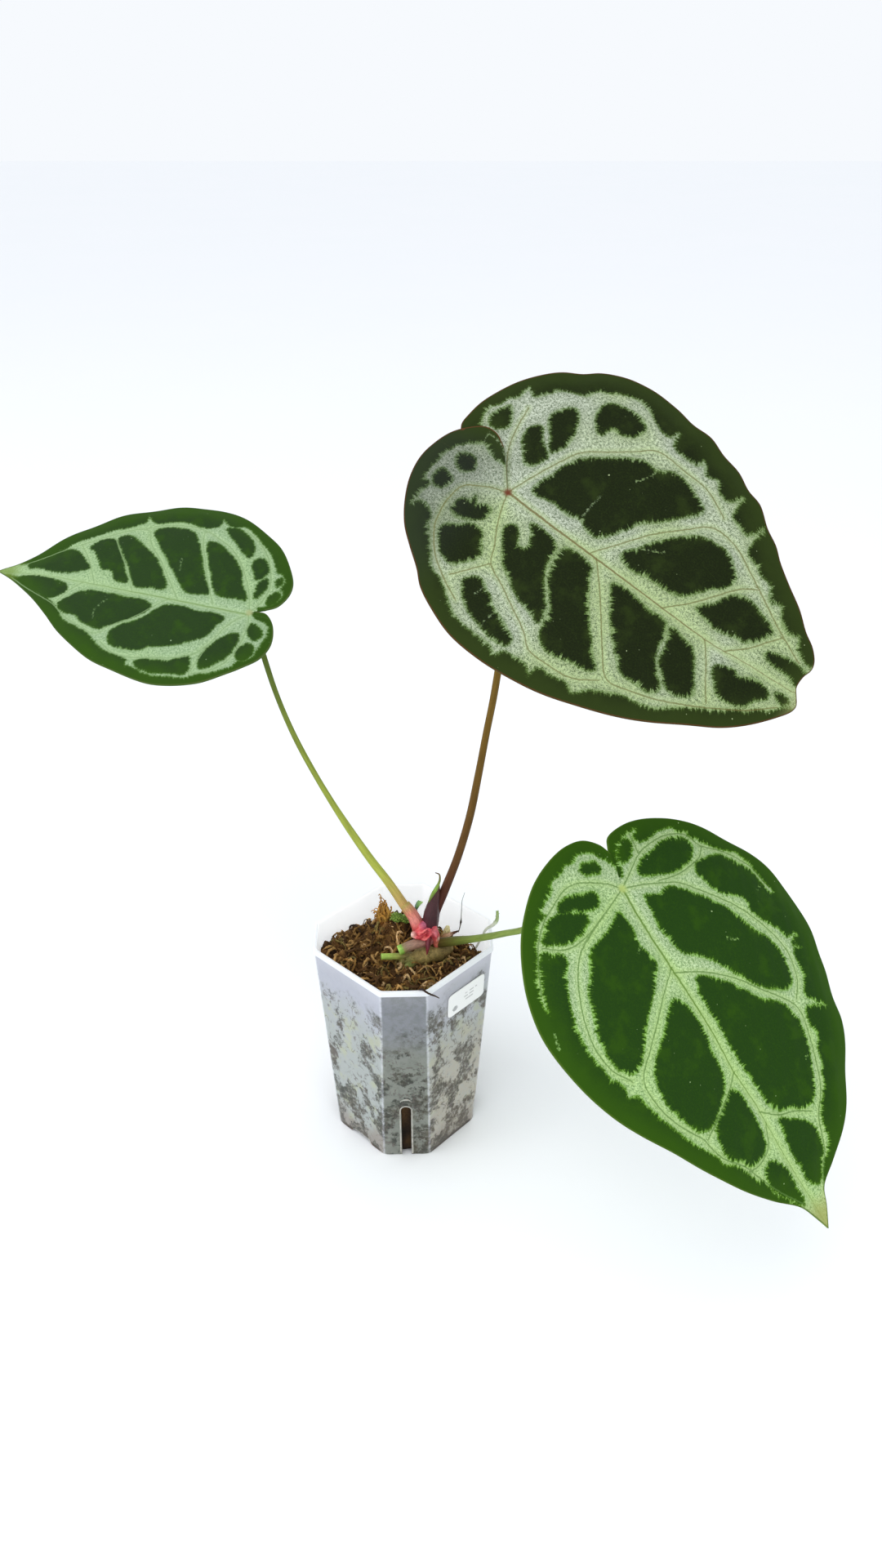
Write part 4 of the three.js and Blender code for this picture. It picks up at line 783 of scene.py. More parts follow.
def build_blade(name, leaf, material, slot):
    origin, ahead, across, normal, length = leaf_axes(leaf)
    body = Body()
    starts = []
    for under, (rings, drop) in enumerate(((TOP_RINGS, 0.0), (UNDER_RINGS, BLADE_THICK))):
        junction = [[0, 0, junction_height(leaf), 0, 0]]
        grid = np.vstack([junction, half_grid(leaf, 0, rings), half_grid(leaf, 1, rings)])
        uv = grid[:, :2]
        height, angle, half = grid[:, 2:].T
        rib_distance, _, rib = nearest(uv, [leaf["midrib"]])
        vein, _, signed = nearest(uv, leaf["veins"])
        edge = nearest(uv, leaf["outline"])[0]
        inner = step(edge, 0, 6)
        pillow = 0.55 * step(np.minimum(rib_distance, vein), 0, 9) * inner
        ripple = 0.16 * np.sin(uv[:, 0] * 0.55 + 0.4 * uv[:, 1]) * np.cos(0.47 * uv[:, 1]) * inner
        groove = (0.5 * bell(rib_distance, 1.3) + 0.32 * bell(vein, 1.0)) * inner
        surface = height + pillow + ripple - groove - SINK
        depth, foot, thread = np.full(len(uv), NO_SILVER), uv.copy(), NO_THREAD
        if under:
            ridge = 0.9 * bell(rib_distance, 2.2) * np.clip(1 - uv[:, 0] / length, 0, 1)
            ridge += 0.35 * bell(vein, 1.1)
            surface -= drop + ridge * step(np.hypot(*uv.T), 3, 9) * inner
        else:
            front = angle < FRONT_ANGLE
            parts = ((front, (0, 1)), (~front & (half == 0), (0,)), (~front & (half == 1), (1,)))
            for mine, sides in parts:
                depth[mine], foot[mine] = silver_field(uv[mine], leaf, sides)
            thread = nearest(uv, leaf["threads"])[0]
        points = origin + uv[:, :1] * ahead + uv[:, 1:] * across + surface[:, None] * normal
        starts.append((body.count, rings))
        body.add(
            points, [], depth=depth, foot_u=foot[:, 0], foot_v=foot[:, 1], thread=thread, rib=rib,
            vein=signed, vein_near=vein, edge=edge, leaf_u=uv[:, 0], leaf_v=uv[:, 1], under=under,
        )
    for half in (0, 1):
        top, under = ([face_row(*start, half, s) for s in range(STATIONS + 1)] for start in starts)
        for rows, way in ((top, 1), (under, -1)):
            flip = -way if half else way
            for a, b in zip(rows, rows[1:]):
                body.faces.append([a[0], b[1], a[1]][::flip])
                body.faces += [[a[r], b[r], b[r + 1], a[r + 1]][::flip] for r in range(1, len(a) - 1)]
        flip = -1 if half else 1
        for s in range(STATIONS):
            body.faces.append([top[s][-1], top[s + 1][-1], under[s + 1][-1], under[s][-1]][::flip])
        close_notch(body, top[0], under[0], flip)
    body.make(name, material, slot, ["blade_" + name.removeprefix("leaf_")])


def close_notch(body, top, under, flip):
    """The thin wall along the notch, whose two faces have different numbers of rings."""
    i = j = 0
    while i < TOP_RINGS or j < UNDER_RINGS:
        if j == UNDER_RINGS or (i < TOP_RINGS and (i + 1) / TOP_RINGS <= (j + 1) / UNDER_RINGS):
            body.faces.append([top[i], top[i + 1], under[j]][::flip])
            i += 1
        else:
            body.faces.append([top[i], under[j + 1], under[j]][::flip])
            j += 1


def blade_paint(name, trim, tip_from, crisp=1.0, soft=0.15, faded=0.0, lobe_shade_amount=0.0, **tones):
    """Velvet green with silver along the veins, a toothed edge between them, and a pale underside.

    trim is how far the silver draws back, tip_from where the tip's own colour starts, crisp how
    sharp the teeth are, soft the blur of the silver's edge, faded how much of it is lost towards
    the tip, and lobe_shade_amount how much painted shade darkens the lifted lobe.
    """
    tone = {key: rgb(*value) for key, value in tones.items()}
    p = Paint(name, 0.6, 0.05)
    u, v, near_vein = p.attr("leaf_u"), p.attr("leaf_v"), p.attr("vein_near")
    depth, edge, rib, vein = (p.attr(key) for key in ("depth", "edge", "rib", "vein"))
    flat = p.flat(u, v)
    # teeth grow out of the silver, from places along its edge
    foot = p.flat(p.attr("foot_u"), p.attr("foot_v"), 3.0)
    spikes = 0.0
    for scale, width, reach in ((0.4, 0.08, 1.0), (0.9, 0.11, 0.7), (2.2, 0.2, 0.5)):
        off_line = abs(p.noise(foot, scale, 2, 0.6) - 0.5)
        spikes = off_line.math("MULTIPLY_ADD", -reach / width, reach).larger(0.0) + spikes
    long = p.noise(p.shift(flat, (3, 80, 0)), 0.11, 2, 0.5).band(0.3, 0.7, 0.45, 1.2)
    crumb = p.noise(flat, 1.5, 5, 0.9).swing(3.0 * crisp)
    fading = u.band(tip_from - 48, tip_from + 4, 0.0, -faded)
    shaken = depth + spikes * (long * crisp) + crumb + (-0.35 - trim) + fading
    thread_break = p.noise(flat, 0.8, 3, 0.8).swing(1.9)
    thread_share = (p.attr("thread") * -1.0 + 0.22 + thread_break).band(-0.2, 0.2, 0.0, 0.65)
    silver_share = shaken.band(-soft, soft).larger(thread_share)
    # silver: pale scales over green, in fine and coarse patches
    sparkle = p.noise(flat, 3.3, 2, 0.9)
    patches = p.noise(p.shift(flat, (9, 4, 0)), 1.1, 3, 0.7)
    speckle = (sparkle * 0.6 + patches * 0.4).band(0.41, 0.57) * depth.band(0.0, 5.0, 0.75, 1.0)
    greyer = (p.noise(flat, 0.025, 2, 0.5) + u * 0.002).band(0.45, 0.7, 0.8, 0.0)
    silver = p.mix(speckle, tone["silver_low"], p.mix(greyer, tone["silver"], tone["grey"]))
    silver = silver.mix(depth.band(0.0, 1.1, 0.5, 0.0), tone["fringe"])
    glint = p.noise(p.shift(flat, (7, 3, 0)), 4.3, 1, 0.5).band(0.64, 0.74, 0.0, 0.7)
    silver = silver.mix(glint, rgb(222, 230, 216))
    silver = silver.mix(abs(rib).band(0.3, 2.8, 0.5, 0.0), tone["warm"])
    silver = silver.mix(near_vein.band(0.3, 2.2, 0.35, 0.0), tone["warm"])
    # dark velvet, paler and greener towards the margin
    mottle = p.noise(flat, 0.09, 4, 0.6)
    fine = p.noise(flat, 1.6, 4, 0.75)
    margin = (edge + mottle.swing(6.0)).band(0.0, 12.0, 1.0, 0.0)
    cells = p.node("TexVoronoi", "Distance", {"Vector": flat, "Scale": 0.22}, feature="DISTANCE_TO_EDGE")
    net = cells.band(0.0, 0.05, 0.45, 0.0) * fine.band(0.4, 0.7)
    colour = p.mix(margin, tone["dark"], tone["dark_margin"])
    for share in (mottle.band(0.5, 0.68, 0.0, 0.6), net, fine.band(0.35, 0.75, 0.0, 0.4)):
        colour = colour.mix(share, tone["dark_margin"])
    colour = colour.mix(shaken.band(-0.9, 0.1, 0.0, 0.55), tone["fringe"])
    fleck = p.noise(p.shift(flat, (31, 5, 0)), 0.9, 1, 0.3).band(0.8, 0.82, 0.0, 0.7)
    colour = colour.mix(fleck, tone["silver"]).mix(silver_share, silver)
    # painted shade: the lifted lobe is darkened towards a dim grey-green
    lobe_shade_mask = u.band(4, -16) * v.band(16, 2, 0.0, lobe_shade_amount)
    colour = colour.mix(lobe_shade_mask, rgb(36, 42, 38))
    # veins, the junction, the tip and the thin coloured margin
    wander = p.noise(flat, 0.6, 2, 0.5).swing(0.25)
    line = abs(vein + wander).band(0.1, 0.42, 0.7, 0.0) * near_vein.band(0.7, 1.3, 1.0, 0.0)
    colour = colour.mix(line, tone["vein_line"])
    rib_width = u.band(0, 125, 0.42, 0.1)
    colour = colour.mix((abs(rib + wander) - rib_width).band(-0.2, 0.2, 0.85, 0.0), tone["rib_line"])
    from_junction = (u * u + v * v).math("SQRT")
    colour = colour.mix(from_junction.band(0.5, 2.3, 0.9, 0.0), tone["junction"])
    colour = colour.mix(u.band(tip_from, tip_from + 10, 0.0, 0.7), tone["tip"])
    colour = colour.mix((edge + fine.swing(0.3)).band(0.15, 0.55, 0.75, 0.0), tone["edge_line"])
    # underside: pale green with the veins standing out
    half_back = p.mix(0.5, tone["back"], tone["dark_margin"])
    back = p.mix(p.noise(flat, 0.5, 4, 0.7).band(0.3, 0.7), tone["back"], half_back)
    back_vein = abs(rib).band(0.8, 2.0, 1.0, 0.0).larger(near_vein.band(0.7, 2.5, 0.85, 0.0))
    colour = colour.mix(p.attr("under"), back.mix(back_vein, tone["warm"]))
    scales = sparkle * silver_share
    return p.finish(colour, fine * 0.5 + scales, 0.12, scales.band(0.2, 0.7, 0.62, 0.45), 0.6)


BLADES = {
    "upper_right": ("blade_dark", blade_paint(
        "velvet_dark", dark=(21, 28, 10), dark_margin=(41, 54, 18), silver=(188, 206, 154),
        grey=(200, 206, 194), silver_low=(62, 80, 46), fringe=(98, 128, 58), rib_line=(104, 92, 54),
        vein_line=(100, 98, 54), warm=(164, 182, 128), edge_line=(92, 54, 34), junction=(104, 50, 36),
        back=(92, 112, 58), tip=(152, 152, 98), trim=0.45, tip_from=119, lobe_shade_amount=0.42,
    )),
    "lower_right": ("blade_bright", blade_paint(
        "velvet_green", dark=(30, 58, 16), dark_margin=(44, 77, 10), silver=(196, 224, 160),
        grey=(200, 216, 180), silver_low=(72, 114, 44), fringe=(120, 176, 44), rib_line=(92, 124, 48),
        vein_line=(80, 114, 52), warm=(164, 192, 118), edge_line=(72, 96, 28), junction=(172, 190, 112),
        back=(96, 136, 60), tip=(150, 150, 82), trim=0.85, tip_from=128, faded=0.4,
    )),
    "left": ("blade_soft", blade_paint(
        "velvet_soft", dark=(36, 56, 27), dark_margin=(46, 76, 17), silver=(176, 202, 154),
        grey=(176, 198, 164), silver_low=(94, 126, 78), fringe=(84, 122, 46), rib_line=(122, 148, 94),
        vein_line=(124, 150, 104), warm=(160, 186, 136), edge_line=(78, 92, 46), junction=(158, 166, 118),
        back=(92, 124, 66), tip=(112, 136, 54), trim=0.6, tip_from=114, crisp=0.6, soft=0.4, faded=1.7,
    )),
}
for key, (slot, material) in BLADES.items():
    build_blade("leaf_" + key, LEAVES[key], material, slot)

# Pot, in the measures of its CAD node
RIM_WIDTH = 70
POT_HEIGHT = 104
POT_TURN = math.radians(46.6)
WALL = 1.2
WALL_TOP = 101.7
WALL_WIDTHS = (59.8, 68.8)
CHAMFERS = (14.9, 13.9)
SIDE_REACH = [width / 2 for width in WALL_WIDTHS]
CORNER_REACH = [(width - chamfer) / ROOT_2 for width, chamfer in zip(WALL_WIDTHS, CHAMFERS)]
SLOT_WIDTH = 4.4
SLOT_TOP = 33
SLOT_EDGE = 0.9
BROW_HEIGHT = 35.2
BROW_RADIUS = 2.75
NOTCH = [(-7.5, -1), (7.5, -1), (7.5, 0), (5, 3), (-5, 3), (-7.5, 0)]
NOTCH_DEPTH = 13
FRONT_CORNER = math.degrees(POT_TURN) + 45


def up_wall(ends, z):
    """A measure of the wall at a height, from its values at the foot and at the top."""
    return ends[0] + (ends[1] - ends[0]) * z / WALL_TOP


def pot_size(z, inset):
    """Width and cut corner of the pot's wall at a height, moved inwards."""
    return up_wall(WALL_WIDTHS, z) - 2 * inset, up_wall(CHAMFERS, z) - (2 - ROOT_2) * inset


def pot_ring(z, inset, fillet=1.0, between=1):
    """The pot's outline at a height, its eight corners rounded, and points between the corners."""
    width, chamfer = pot_size(z, inset)
    half, near = width / 2, width / 2 - chamfer
    corners = [(half, -near), (half, near), (near, half), (-near, half)]
    corners = spin(corners + [(-x, -y) for x, y in corners], POT_TURN)
    ring = []
    for before, corner, after in zip(np.roll(corners, 1, 0), corners, np.roll(corners, -1, 0)):
        start = corner + unit(before - corner) * fillet
        end = corner + unit(after - corner) * fillet
        for t in np.linspace(0, 1, 6):
            ring.append((1 - t) ** 2 * start + 2 * t * (1 - t) * corner + t * t * end)
        following = after + unit(corner - after) * fillet
        ring += [end + (following - end) * i / (between + 1) for i in range(1, between + 1)]
    return np.array([(x, y, z) for x, y in ring])


class WallFrame:
    """Places on one wall of the pot: along it to the right, up it, and out of it.

    eighth counts the walls round the pot, and reach is how far out this one is at its foot and
    at its top.
    """

    def __init__(self, eighth, reach):
        turn = POT_TURN + eighth * math.pi / 4
        slope = math.atan2(reach[1] - reach[0], WALL_TOP)
        out = np.array([math.cos(turn), math.sin(turn), 0])
        right = np.array([-math.sin(turn), math.cos(turn), 0])
        up = np.array([0, 0, math.cos(slope)]) + out * math.sin(slope)
        self.origin = out * reach[0]
        self.axes = np.array([right, up, np.cross(right, up)])

    def at(self, x, y, z=0.0):
        return self.origin + np.array([x, y, z]) @ self.axes

    def block(self, outline, low, high):
        """A prism on an outline on the wall."""
        return loft([np.array([self.at(x, y, z) for x, y in outline]) for z in (low, high)])


def arc(centre, radius, start, end, steps):
    turns = [math.radians(start + (end - start) * i / steps) for i in range(steps + 1)]
    return [(centre[0] + radius * math.cos(t), centre[1] + radius * math.sin(t)) for t in turns]


def build_pot():
    reach = (RIM_WIDTH - WALL_WIDTHS[1]) / 2
    drop = POT_HEIGHT - WALL_TOP
    lean = (SIDE_REACH[1] - SIDE_REACH[0]) / WALL_TOP
    lip = [(0.0, reach), (0.3, reach + 0.05), (drop - 0.5, reach), (drop - 0.12, reach - 0.15)]
    lip += [(drop, reach - 0.45), (drop, -0.6), (drop - 0.12, -0.9), (drop - 0.5, -1.02)]
    profile = [(0, 1.2), (0, 0.6), (0.2, 0.2), (0.7, 0), (20, 0), (WALL_TOP - 0.5, 0)]
    profile += [(WALL_TOP - 0.15, -0.15)] + [(WALL_TOP + rise, lean * rise - out) for rise, out in lip]
    profile += [(WALL_TOP, WALL), (30, WALL), (WALL + 0.8, WALL), (WALL, WALL + 0.8)]
    shell = loft([pot_ring(z, inset, 1.1 + 1.2 * step(12 - z, 0, 12)) for z, inset in profile])
    pot = new_object("pot_shell", *shell)
    extra, holes = Body(), Body()
    # two foot notches, each with a wall of its own
    for eighth in (0, 4):
        wall = WallFrame(eighth, SIDE_REACH)
        hump = [(x * 1.16, y + (0.2 if y < 0.5 else WALL)) for x, y in NOTCH[2:]]
        extra.add(*wall.block(hump, -NOTCH_DEPTH - WALL, -0.35))
        holes.add(*wall.block(NOTCH, -NOTCH_DEPTH, 4))
    # a slot in each cut corner, with a raised edge and a brow over it
    half = SLOT_WIDTH / 2
    spring = (0, SLOT_TOP - half)
    rim = half + SLOT_EDGE / 2
    edge = [(rim, y) for y in (1.6, 12, 22)] + arc(spring, rim, 0, 180, 12)
    edge += [(-rim, y) for y in (22, 12, 1.6)]
    brow = arc((0, BROW_HEIGHT), BROW_RADIUS, 22, 158, 10)
    opening = [(-half, -2), (half, -2)] + arc(spring, half, 0, 180, 14)
    for eighth in (1, 3, 5, 7):
        wall = WallFrame(eighth, CORNER_REACH)
        extra.tube([wall.at(x, y) for x, y in edge], [0.5, 0.42, 0.38, 0.42, 0.5], 12, 70)
        extra.tube([wall.at(x, y) for x, y in brow], [0.25, 0.45, 0.5, 0.45, 0.25], 10, 24)
        holes.add(*wall.block(opening, -5, 3))
    for operation, body in (("UNION", extra), ("DIFFERENCE", holes)):
        tool = new_object("pot_tool", np.vstack(body.points), body.faces)
        cut = pot.modifiers.new(operation, "BOOLEAN")
        cut.operation = operation
        cut.object = tool
        cut.solver = "EXACT"
        done = bpy.data.meshes.new_from_object(evaluated(pot))
        pot.modifiers.clear()
        pot.data = done
        bpy.data.objects.remove(tool)
    points, faces = points_and_faces(pot.data)
    bpy.data.objects.remove(pot)
    piece = add_piece("pot_shell", points, faces, pot_paint(), ["pot"], {})
    piece.data.set_sharp_from_angle(angle=math.radians(35))


def strands(p, at, scale, width, seed):
    """Curly threads: thin lines where a warped noise passes its middle."""
    field = p.noise(p.shift(at, (seed, 2 * seed, -seed)), scale, 2, 0.5, 0.8)
    return abs(field - 0.5).band(0.4 * width, width, 1.0, 0.0)


def pot_paint():
    """Frosted plastic with the moss's dark threads pressed against the inside."""
    p = Paint("frosted_plastic", 0.34, 0.3)
    at = p.place()
    x, y, z = (p.node("SeparateXYZ", axis, {0: at}) for axis in "XYZ")
    radius = (x * x + y * y).math("SQRT")
    turn = y.math("ARCTAN2", x) * (180 / math.pi)
    # how far round from the middle of the nearest cut corner, and how far out of the wall
    fold = (turn + (540 - FRONT_CORNER)).math("PINGPONG", 45) * (math.pi / 180)
    half_corner = z.band(0, WALL_TOP, CHAMFERS[0] / ROOT_2, CHAMFERS[1] / ROOT_2)
    off_edge = radius * fold.math("SINE") - half_corner
    chamfer = off_edge.band(-0.7, 0.1, 1.0, 0.0)
    arris_highlight = abs(off_edge).band(0.15, 0.8, 1.0, 0.0)
    proud, side_proud = (
        radius * angle.math("COSINE") - z.math("MULTIPLY_ADD", (top - foot) / WALL_TOP, foot)
        for angle, (foot, top) in ((fold, CORNER_REACH), (fold - math.pi / 4, SIDE_REACH))
    )
    cloud = p.noise(at, 0.06, 3, 0.6)
    mist = p.noise(at, 0.35, 4, 0.7)
    uneven = z + cloud.swing(26)
    # plain cold band at the top, paler and greener below it, warm on the right and at the foot
    right = turn.band(-86, -60)
    colour = p.mix(right, rgb(177, 181, 194), rgb(184, 185, 197))
    colour = colour.mix(uneven.band(98, 60), rgb(166, 173, 170))
    green = p.noise(p.shift(at, (50, 9, 4)), 0.14, 3, 0.6).band(0.5, 0.66, 0.0, 0.7)
    colour = colour.mix(green * z.band(92, 70), rgb(176, 182, 148))
    warm = right * uneven.band(84, 40) * mist.band(0.3, 0.6, 0.4, 0.9)
    colour = colour.mix(warm, rgb(178, 171, 155)).mix(uneven.band(26, 2, 0.0, 0.75), rgb(146, 134, 124))
    # the cut corners are painted darker: partly the dark moss behind them, partly painted shade on these
    # faces
    colour = colour.mix(chamfer * 0.95, p.mix(z.band(84, 60), rgb(131, 134, 141), rgb(129, 133, 124)))
    colour = colour.mix(chamfer * mist.band(0.4, 0.65, 0.0, 0.4), rgb(106, 111, 103))
    # clumps of moss showing through, with soft dark stains and single curls
    below = (uneven + chamfer * 16).band(96, 80)
    leaning = p.stretch(p.shift(at, (0, 30, 0)), (1, 1, 0.8))
    thick = p.noise(leaning, 0.085, 4, 0.6) + z.band(80, 10, 0.0, 0.07) + right * 0.03
    browner = cloud.band(0.45, 0.65, 0.0, 0.5) + right * 0.4
    dark = p.mix(browner, rgb(50, 54, 46), rgb(76, 62, 42))
    stain = thick.band(0.535, 0.62) * below * mist.band(0.34, 0.6, 0.2, 1.0)
    colour = colour.mix(stain, p.mix(0.25, dark, rgb(140, 138, 122)))
    squeezed = p.stretch(at, (1, 1, 0.75))
    threads = strands(p, squeezed, 0.15, 0.085, 3.0).larger(strands(p, squeezed, 0.3, 0.075, 11.0))
    threads = threads.larger(mist.band(0.57, 0.66, 0.0, 0.7))
    gaps = p.noise(p.shift(at, (3, 3, 70)), 0.4, 3, 0.7).band(0.42, 0.54)
    clump = thick.band(0.51, 0.57) * below
    colour = colour.mix(threads * gaps * clump * 0.9, dark)
    stray = p.noise(p.shift(at, (5, 60, 0)), 0.13, 3, 0.6).band(0.46, 0.54) * below
    loose = strands(p, squeezed, 0.2, 0.05, 23.0) * stray * gaps * 0.7
    colour = colour.mix(loose, rgb(92, 84, 78))
    # painted highlight: a pale line along the edges between the cut corners and the sides
    colour = colour.mix(arris_highlight * mist.band(0.35, 0.6, 0.5, 0.15), rgb(214, 217, 226))
    # painted highlight: the slots' raised edge and brow are painted paler, in patches
    slot_rim_highlight = proud.band(0.12, 0.3) * z.band(40, 38) * mist.band(0.36, 0.6, 0.2, 0.9)
    colour = colour.mix(slot_rim_highlight, rgb(178, 174, 164))
    # painted light: the far walls and the back of the lip are painted near white for the light coming
    # through them, and the lip, pale plastic, is painted paler still for the light falling on it from
    # above
    inner = proud.larger(side_proud).band(-0.7, -1.0) * z.band(70, 80)
    lip = z.band(WALL_TOP - 0.6, WALL_TOP - 0.1)
    colour = colour.mix(inner, rgb(252, 254, 255)).mix(lip, rgb(226, 231, 242))
    colour = colour.mix(y.band(0, 12) * lip, rgb(250, 252, 255))
    # crumbs of moss on the floor's cut edge, seen through the corner slots
    crumbs = proud.band(-1.4, -2.2) * z.band(2.6, 2.0) * z.band(0.0, 0.05)
    colour = colour.mix(crumbs, rgb(62, 48, 32))
    # painted glow: the far walls emit a little light, standing in for the light that comes through them
    # from behind
    shader = p.shader.inputs
    shader["Emission Color"].default_value = rgb(250, 252, 255)
    p.link(shader["Emission Strength"], inner * 0.22)
    shader["Subsurface Weight"].default_value = 1.0
    shader["Subsurface Radius"].default_value = (1.0, 1.0, 1.0)
    shader["Subsurface Scale"].default_value = 6 * MM
    return p.finish(colour, mist + cloud, 0.2, mist.band(0.3, 0.7, 0.28, 0.42), 0.35)


build_pot()

# Sticker, with plain printed bars in place of any writing
LABEL_SIZE = (23, 12.5)
LABEL_AT = (4.4, 86)
LABEL_CORNER = 2.0


def label_paint():
    p = Paint("label_paper", 0.42, 0.4)
    u, v = p.attr("label_u"), p.attr("label_v")
    flat = p.flat(u, v)
    fibre = p.noise(p.stretch(flat, (1, 2, 1)), 1.4, 3, 0.7)
    colour = p.mix(fibre, rgb(238, 238, 237), rgb(248, 248, 248))
    break_up = p.noise(p.stretch(flat, (1, 0.2, 1)), 0.5, 0, 0.5).band(0.36, 0.42)
    for middle, low, high in ((2.2, -1.0, 6.6), (0.4, -1.6, 5.0), (-1.4, -0.6, 4.2)):
        bar = abs(v - middle).band(0.25, 0.5, 0.55, 0.0)
        bar = bar * u.band(low - 0.2, low + 0.2) * u.band(high + 0.2, high - 0.2)
        colour = colour.mix(bar * break_up, rgb(150, 150, 152))
    off = p.node("VectorMath", "Value", {0: p.shift(flat, (7.2, 2.6, 0))}, operation="LENGTH")
    blot = (off + p.noise(flat, 1.2, 3, 0.7).swing(1.2)).band(1.2, 1.7, 0.7, 0.0)
    return p.finish(colour.mix(blot, rgb(120, 120, 122)), fibre, 0.03, None, 0.5)


def build_label():
    wall = WallFrame(6, SIDE_REACH)
    x, y = (size / 2 - LABEL_CORNER for size in LABEL_SIZE)
    rings = []
    for rise, shrink in ((0.12, 0.0), (0.4, 0.0), (0.5, 0.12), (0.52, 0.5)):
        outline = []
        for corner, start in (((x, -y), -90), ((x, y), 0), ((-x, y), 90), ((-x, -y), 180)):
            outline += arc(corner, LABEL_CORNER - shrink, start, start + 90, 8)
        rings.append(np.array([wall.at(a + LABEL_AT[0], b + LABEL_AT[1], rise) for a, b in outline]))
    points, faces = loft(rings)
    local = (points - wall.at(*LABEL_AT)) @ wall.axes.T
    values = {"label_u": local[:, 0], "label_v": local[:, 1]}
    piece = add_piece("label_sheet", points, faces, label_paint(), ["label"], values)
    piece.data.set_sharp_from_angle(angle=math.radians(50))


build_label()

# Moss, filling the pot, with curled strands over it
MOSS_LEVEL = 96.2
GAP = 0.3
MOSS_TONES = [(84, 57, 28), (134, 99, 50), (172, 134, 80), (202, 168, 120), (118, 102, 56)]
MOSS_SHARES = [0.33, 0.28, 0.19, 0.08, 0.12]
STRANDS = 700
TUFT_STRANDS = 54
SHORT_STRANDS = 36


def moss_height(x, y):
    """The moss's surface: a mound behind the stem, lumps, and a fall behind its crest."""
    bend = np.where(x < -10, 0.022, 0.0115)
    crest = 17 - bend * (x + 10) ** 2
    mound = 8.5 * np.exp(-(((x + 4) / 12) ** 2) - ((y - 10) / 8) ** 2)
    lumps = 0.9 * np.sin(0.55 * x + 1.3) * np.cos(0.48 * y) + 0.6 * np.sin(0.9 * y - 0.7 * x)
    return MOSS_LEVEL + mound + lumps - 13 * step(y - crest, 0, 12)


def keep_inside(points, gap):
    """Draws points in towards the pot's axis until they are clear of its wall."""
    a, b = np.abs(spin(points[:, :2], -POT_TURN)).T
    width, chamfer = pot_size(np.minimum(points[:, 2], WALL_TOP), WALL + gap)
    past = np.maximum(np.maximum(a, b) / (width / 2), (a + b) / (width - chamfer))
    result = points.copy()
    result[:, :2] /= np.maximum(past, 1)[:, None]
    return result


def scaly(rng, amount=0.22, beads=9):
    """Small leaves pressed to a strand, as a beaded radius."""
    phase = rng.uniform(0, 6.28)
    return lambda share, angle: amount * np.sin(FULL_TURN * beads * share + angle + phase)


def leaflets(body, rng, path, radius, tone, count=8):
    """Small pointed leaves standing off a strand of moss."""
    here = rng.integers(0, len(path) - 1, count)
    ahead = path[here + 1] - path[here]
    centre = path[here] + ahead * rng.random((count, 1))
    out = unit(rng.normal(size=(count, 3)))
    axis = unit(unit(ahead) + 0.9 * out)
    side = unit(np.cross(axis, out))
    half = rng.uniform(0.5, 1.1, (count, 1))
    centre = centre + out * radius * 0.8
    reaches = (axis * half, side * half * 0.4, np.cross(axis, side) * half * 0.13)
    points = np.stack([centre + way * reach for reach in reaches for way in (1, -1)], 1)
    sides = [(0, 2, 4), (2, 1, 4), (1, 3, 4), (3, 0, 4), (2, 0, 5), (1, 2, 5), (3, 1, 5), (0, 3, 5)]
    faces = [[6 * leaf + i for i in corners] for leaf in range(count) for corners in sides]
    tint = np.repeat(plain(tone) * rng.uniform(0.75, 1.4, (count, 1)), 6, axis=0)
    points = keep_inside(points.reshape(-1, 3), 0.5)
    body.add(points, faces, skin=points, tint=tint)


